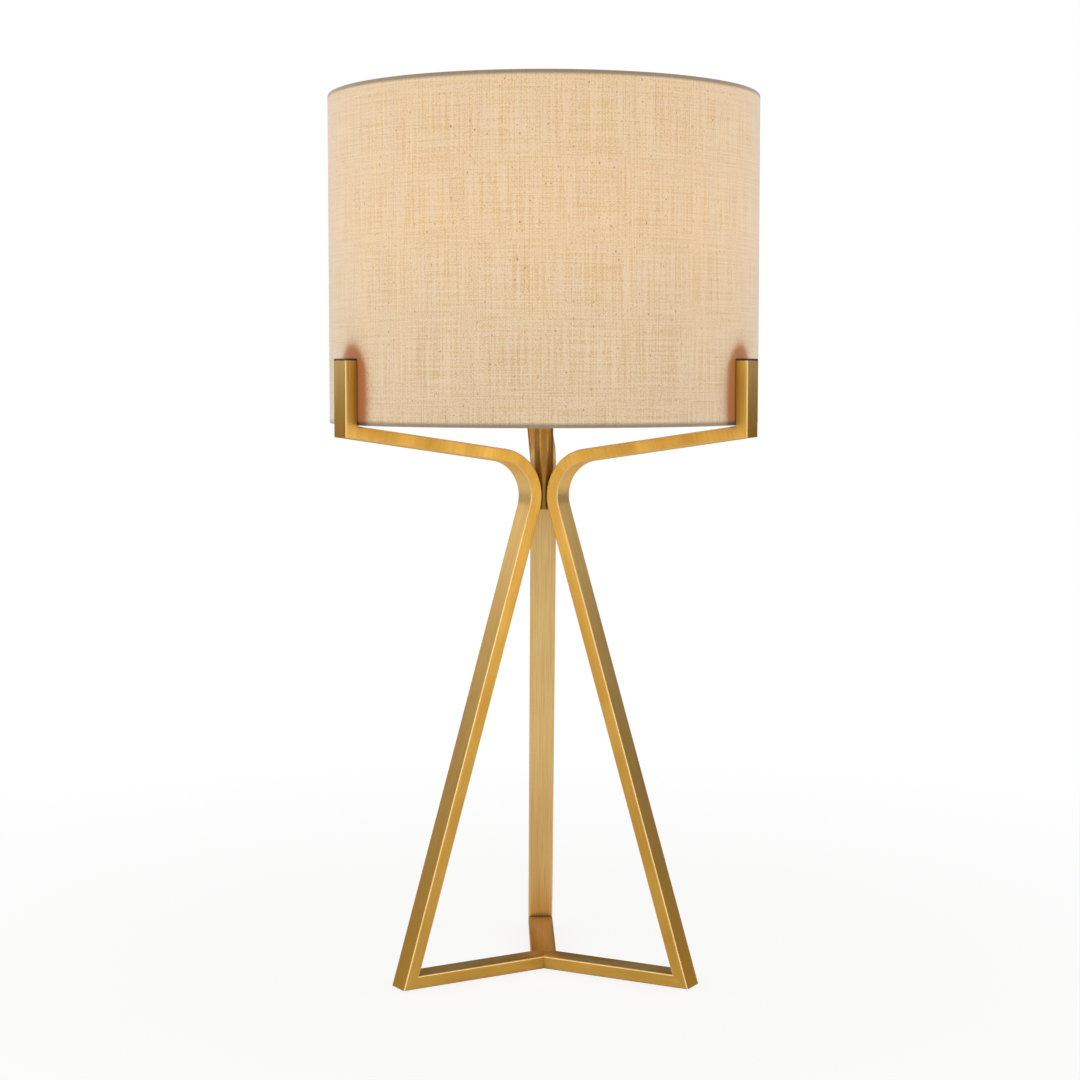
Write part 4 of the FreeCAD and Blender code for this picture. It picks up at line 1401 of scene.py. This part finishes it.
# ---- Shade --------------------------------------------------------------------------
@dataclass
class DrumShade:
    """Linen cover over a stiff liner, two ring wires and a three-spoke spider."""

    linen: float = 0.6 * MM
    liner: float = 0.5 * MM
    wire: float = 1.5 * MM
    wire_sides: int = 16
    turn_in: float = 8 * MM
    roll: float = 1.2 * MM
    overlap: float = 12 * MM
    seam_angle: float = math.radians(118)
    seam_rise: float = 0.45 * MM
    seam_steepness: float = 4.0
    around: int = 240
    rows: int = 24
    spoke_bend: float = 12 * MM
    hub: float = 15 * MM
    hub_bore: float = 3.4 * MM
    hub_bead: float = 0.7 * MM

    def __post_init__(self) -> None:
        """Reads the drum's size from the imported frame."""
        low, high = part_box("shade_cover")
        self.radius, self.bottom, self.top = high.x, low.z, high.z
        self.ring_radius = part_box("top_ring")[1].x - self.wire

    def cover(self) -> Shape:
        """The cloth: hemmed in at the bottom, up the outside, hemmed in at the top.

        Returns:
            The finished mesh, with its UV map.
        """
        fold = self.ring_radius - self.wire - self.linen
        roll, low, high, outer = self.roll, self.bottom, self.top, self.radius - self.roll
        profile = [(fold, low + self.turn_in), (fold, low + roll)]
        profile += arc((fold + roll, low + roll), roll, 180, 270, 4)[1:]
        profile += arc((outer, low + roll), roll, -90, 0, 6)
        height = high - low - 2 * roll
        profile += [(self.radius, low + roll + height * row / self.rows)
                    for row in range(1, self.rows)]
        profile += arc((outer, high - roll), roll, 0, 90, 6)
        profile += arc((fold + roll, high - roll), roll, 90, 180, 4)
        profile += [(fold, high - self.turn_in)]
        shape = turned(profile, self.around)
        self.lap(shape)
        self.lay_out(shape)
        return shape

    def lap(self, shape: Shape) -> None:
        """Raises the strip where one end of the cloth is lapped over the other.

        Args:
            shape: The cloth.
        """
        width = self.overlap / self.radius
        for vert in shape.verts:
            angle = math.atan2(vert.co.y, vert.co.x) - self.seam_angle
            reach = vert.co.xy.length
            if 0 <= angle <= width and reach > self.radius - self.roll:
                rise = self.seam_rise * min(1.0, (width - angle) / width * self.seam_steepness)
                vert.co.xy *= (reach + rise) / reach

    def lay_out(self, shape: Shape) -> None:
        """Writes the cloth's UV map: metres along it from the front, and metres up.

        Args:
            shape: The cloth.
        """
        layer = shape.loops.layers.uv.new("cloth")
        for face in shape.faces:
            middle = face.calc_center_median()
            facing = math.atan2(middle.x, -middle.y)
            for loop in face.loops:
                angle = math.atan2(loop.vert.co.x, -loop.vert.co.y)
                if angle - facing > math.pi:
                    angle -= FULL_TURN
                elif facing - angle > math.pi:
                    angle += FULL_TURN
                loop[layer].uv = (angle * self.radius, loop.vert.co.z)

    def ring(self, node: str) -> Shape:
        """One ring wire.

        Args:
            node: Name of its CAD node.

        Returns:
            The finished mesh.
        """
        low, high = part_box(node)
        shape = bmesh.new()
        place = Matrix.Translation((self.ring_radius, 0, (low.z + high.z) / 2))
        bmesh.ops.create_circle(shape, cap_ends=False, segments=self.wire_sides,
                                radius=self.wire, matrix=place @ Matrix.Rotation(math.pi / 2, 4, "X"))
        return spun(shape, self.around)

    def spoke(self, leg: Leg) -> Shape:
        """Spoke of the spider: out from the hub, then up to the ring.

        Args:
            leg: The leg that it points to.

        Returns:
            The finished mesh.
        """
        level, ring_level = [sum(corner.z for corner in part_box(node)) / 2
                             for node in ("spider_hub", "top_ring")]
        reach = self.ring_radius - 2 * self.wire
        route = [Vector((self.hub - self.wire, 0, level)), Vector((reach, 0, level)),
                 Vector((reach, 0, ring_level))]
        shape = wire_along(route, [self.spoke_bend], self.wire, self.wire_sides)
        bmesh.ops.transform(shape, matrix=leg.turn, verts=shape.verts)
        return shape

    def build(self, bench: Bench) -> None:
        """Makes the shade, and gives its cloth its thickness.

        Args:
            bench: Where the pieces are delivered.
        """
        # Clear styrene sheet behind the linen, milky with the bulb's light.
        styrene = LitPlastic("lit styrene liner", "F0E6D4", "FFCF96", 0.22, 0.62, 0.17, 0.55)
        cover = bench.deliver("shade_cover", self.cover(), Linen(self.bottom, self.top), 60)
        thick = cover.modifiers.new("cloth", "SOLIDIFY")
        thick.thickness, thick.offset = self.linen, -1.0
        cover.modifiers.move(len(cover.modifiers) - 1, 0)
        low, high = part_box("shade_liner")
        sleeve = barrel(high.x, low.z, high.z, high.x - self.liner)
        bench.deliver("shade_liner", turned(sleeve, self.around), styrene)
        for node in ("top_ring", "bottom_ring"):
            bench.deliver(node, self.ring(node), WHITE_WIRE)
        for leg in Leg:
            bench.deliver(leg.title + "_spider_spoke", self.spoke(leg), WHITE_WIRE)
        low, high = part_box("spider_hub")
        washer = turned(barrel(self.hub, low.z, high.z, self.hub_bore), 64)
        bench.deliver("spider_hub", eased(washer, self.hub_bead, 3), WHITE_WIRE)


# ---- Studio -------------------------------------------------------------------------
@dataclass
class Studio:
    """White floor, soft lights and the photograph's camera."""

    eye: tuple[float, float, float] = (-0.0438, -1.8435, 0.502)
    down: float = 4.36
    aside: float = -1.263
    lens: float = 73.93
    sensor: float = 36.0
    ambient: float = 0.58
    floor_half: float = 6.0

    def camera(self) -> None:
        """Makes the camera and hands it to the scene."""
        data = bpy.data.cameras.new("camera")
        data.lens, data.sensor_width = self.lens, self.sensor
        data.clip_start, data.clip_end = 0.01, 50.0
        view = shown("camera", data)
        view.location = self.eye
        view.rotation_euler = (math.radians(90 - self.down), 0, math.radians(self.aside))
        bpy.context.scene.camera = view

    def light(self, name: str, place: Sequence[float], aim: Sequence[float], size: float,
              watts: float) -> None:
        """Adds a square soft box.

        Args:
            name: Its name.
            place: Where it hangs.
            aim: The point that it faces.
            size: Its side.
            watts: Its power.
        """
        data = bpy.data.lights.new(name, "AREA")
        data.shape, data.size, data.energy = "SQUARE", size, watts
        lamp = shown(name, data)
        lamp.location = place
        lamp.rotation_euler = (Vector(place) - Vector(aim)).to_track_quat("Z", "Y").to_euler()

    def flag(self, name: str, place: Sequence[float], aim: Sequence[float],
             size: tuple[float, float]) -> None:
        """Adds a dark card that only reflections show, so that the metal gets its contrast.

        Args:
            name: Its name.
            place: Its middle.
            aim: The point that it faces.
            size: Its width and height.
        """
        shape = bmesh.new()
        facing = (Vector(aim) - Vector(place)).to_track_quat("Z", "Y").to_matrix().to_4x4()
        halves = Matrix.Diagonal((size[0] / 2, size[1] / 2, 1, 1))
        bmesh.ops.create_grid(shape, x_segments=1, y_segments=1, size=1,
                              matrix=Matrix.Translation(place) @ facing @ halves)
        card = shown(name, mesh_of(name, shape, BlackFelt().material()))
        card.visible_camera = card.visible_diffuse = card.visible_shadow = False
        card.visible_transmission = False

    def world(self) -> None:
        """Makes the room, white to the eye, with a dimmer even light on the lamp."""
        world = bpy.data.worlds.new("studio")
        world.use_nodes = True
        tree = world.node_tree
        strength = add(tree, "MapRange", (background_ray(tree), 0.0, 1.0, self.ambient, 1.0))
        feed(tree, tree.nodes["Background"], {"Color": colour("FFFFFF"), "Strength": strength})
        bpy.context.scene.world = world

    def floor(self) -> None:
        """Makes the round table top."""
        shape = bmesh.new()
        bmesh.ops.create_circle(shape, cap_ends=True, segments=64, radius=self.floor_half)
        shown("floor", mesh_of("floor", shape, PaleTable().material()))

    def build(self) -> None:
        """Sets up the whole studio."""
        self.camera()
        self.world()
        self.floor()
        self.light("key", (-1.8, -1.6, 0.9), (0, 0, 0.35), 1.3, 16)
        self.light("fill", (2.0, -1.4, 0.7), (0, 0, 0.35), 1.3, 13)
        self.light("left side", (-2.0, 0.7, 1.3), (0, 0, 0.62), 1.0, 5)
        self.light("right side", (2.0, 0.7, 1.3), (0, 0, 0.62), 1.0, 5)
        self.flag("back flag", (0.0, 2.6, 0.9), (0, 0, 0.2), (2.6, 2.6))
        self.flag("right flag", (2.2, 1.4, 0.8), (0, 0, 0.3), (2.4, 2.4))
        self.flag("left flag", (-2.8, 1.6, 0.5), (0, 0, 0.3), (1.3, 1.6))
        bpy.context.scene.view_settings.view_transform = "Standard"


def main() -> None:
    """Builds the studio and every sub-assembly in order."""
    logging.basicConfig(level=logging.INFO, format="%(name)s: %(message)s")
    Studio().build()
    bench = Bench()
    for assembly in (TripodFrame(), FrameFittings(), StemStack(), Lampholder(), LedBulb(), Harp(),
                     DrumShade()):
        LOG.info("building %s", type(assembly).__name__)
        assembly.build(bench)


if __name__ == "__main__":
    main()
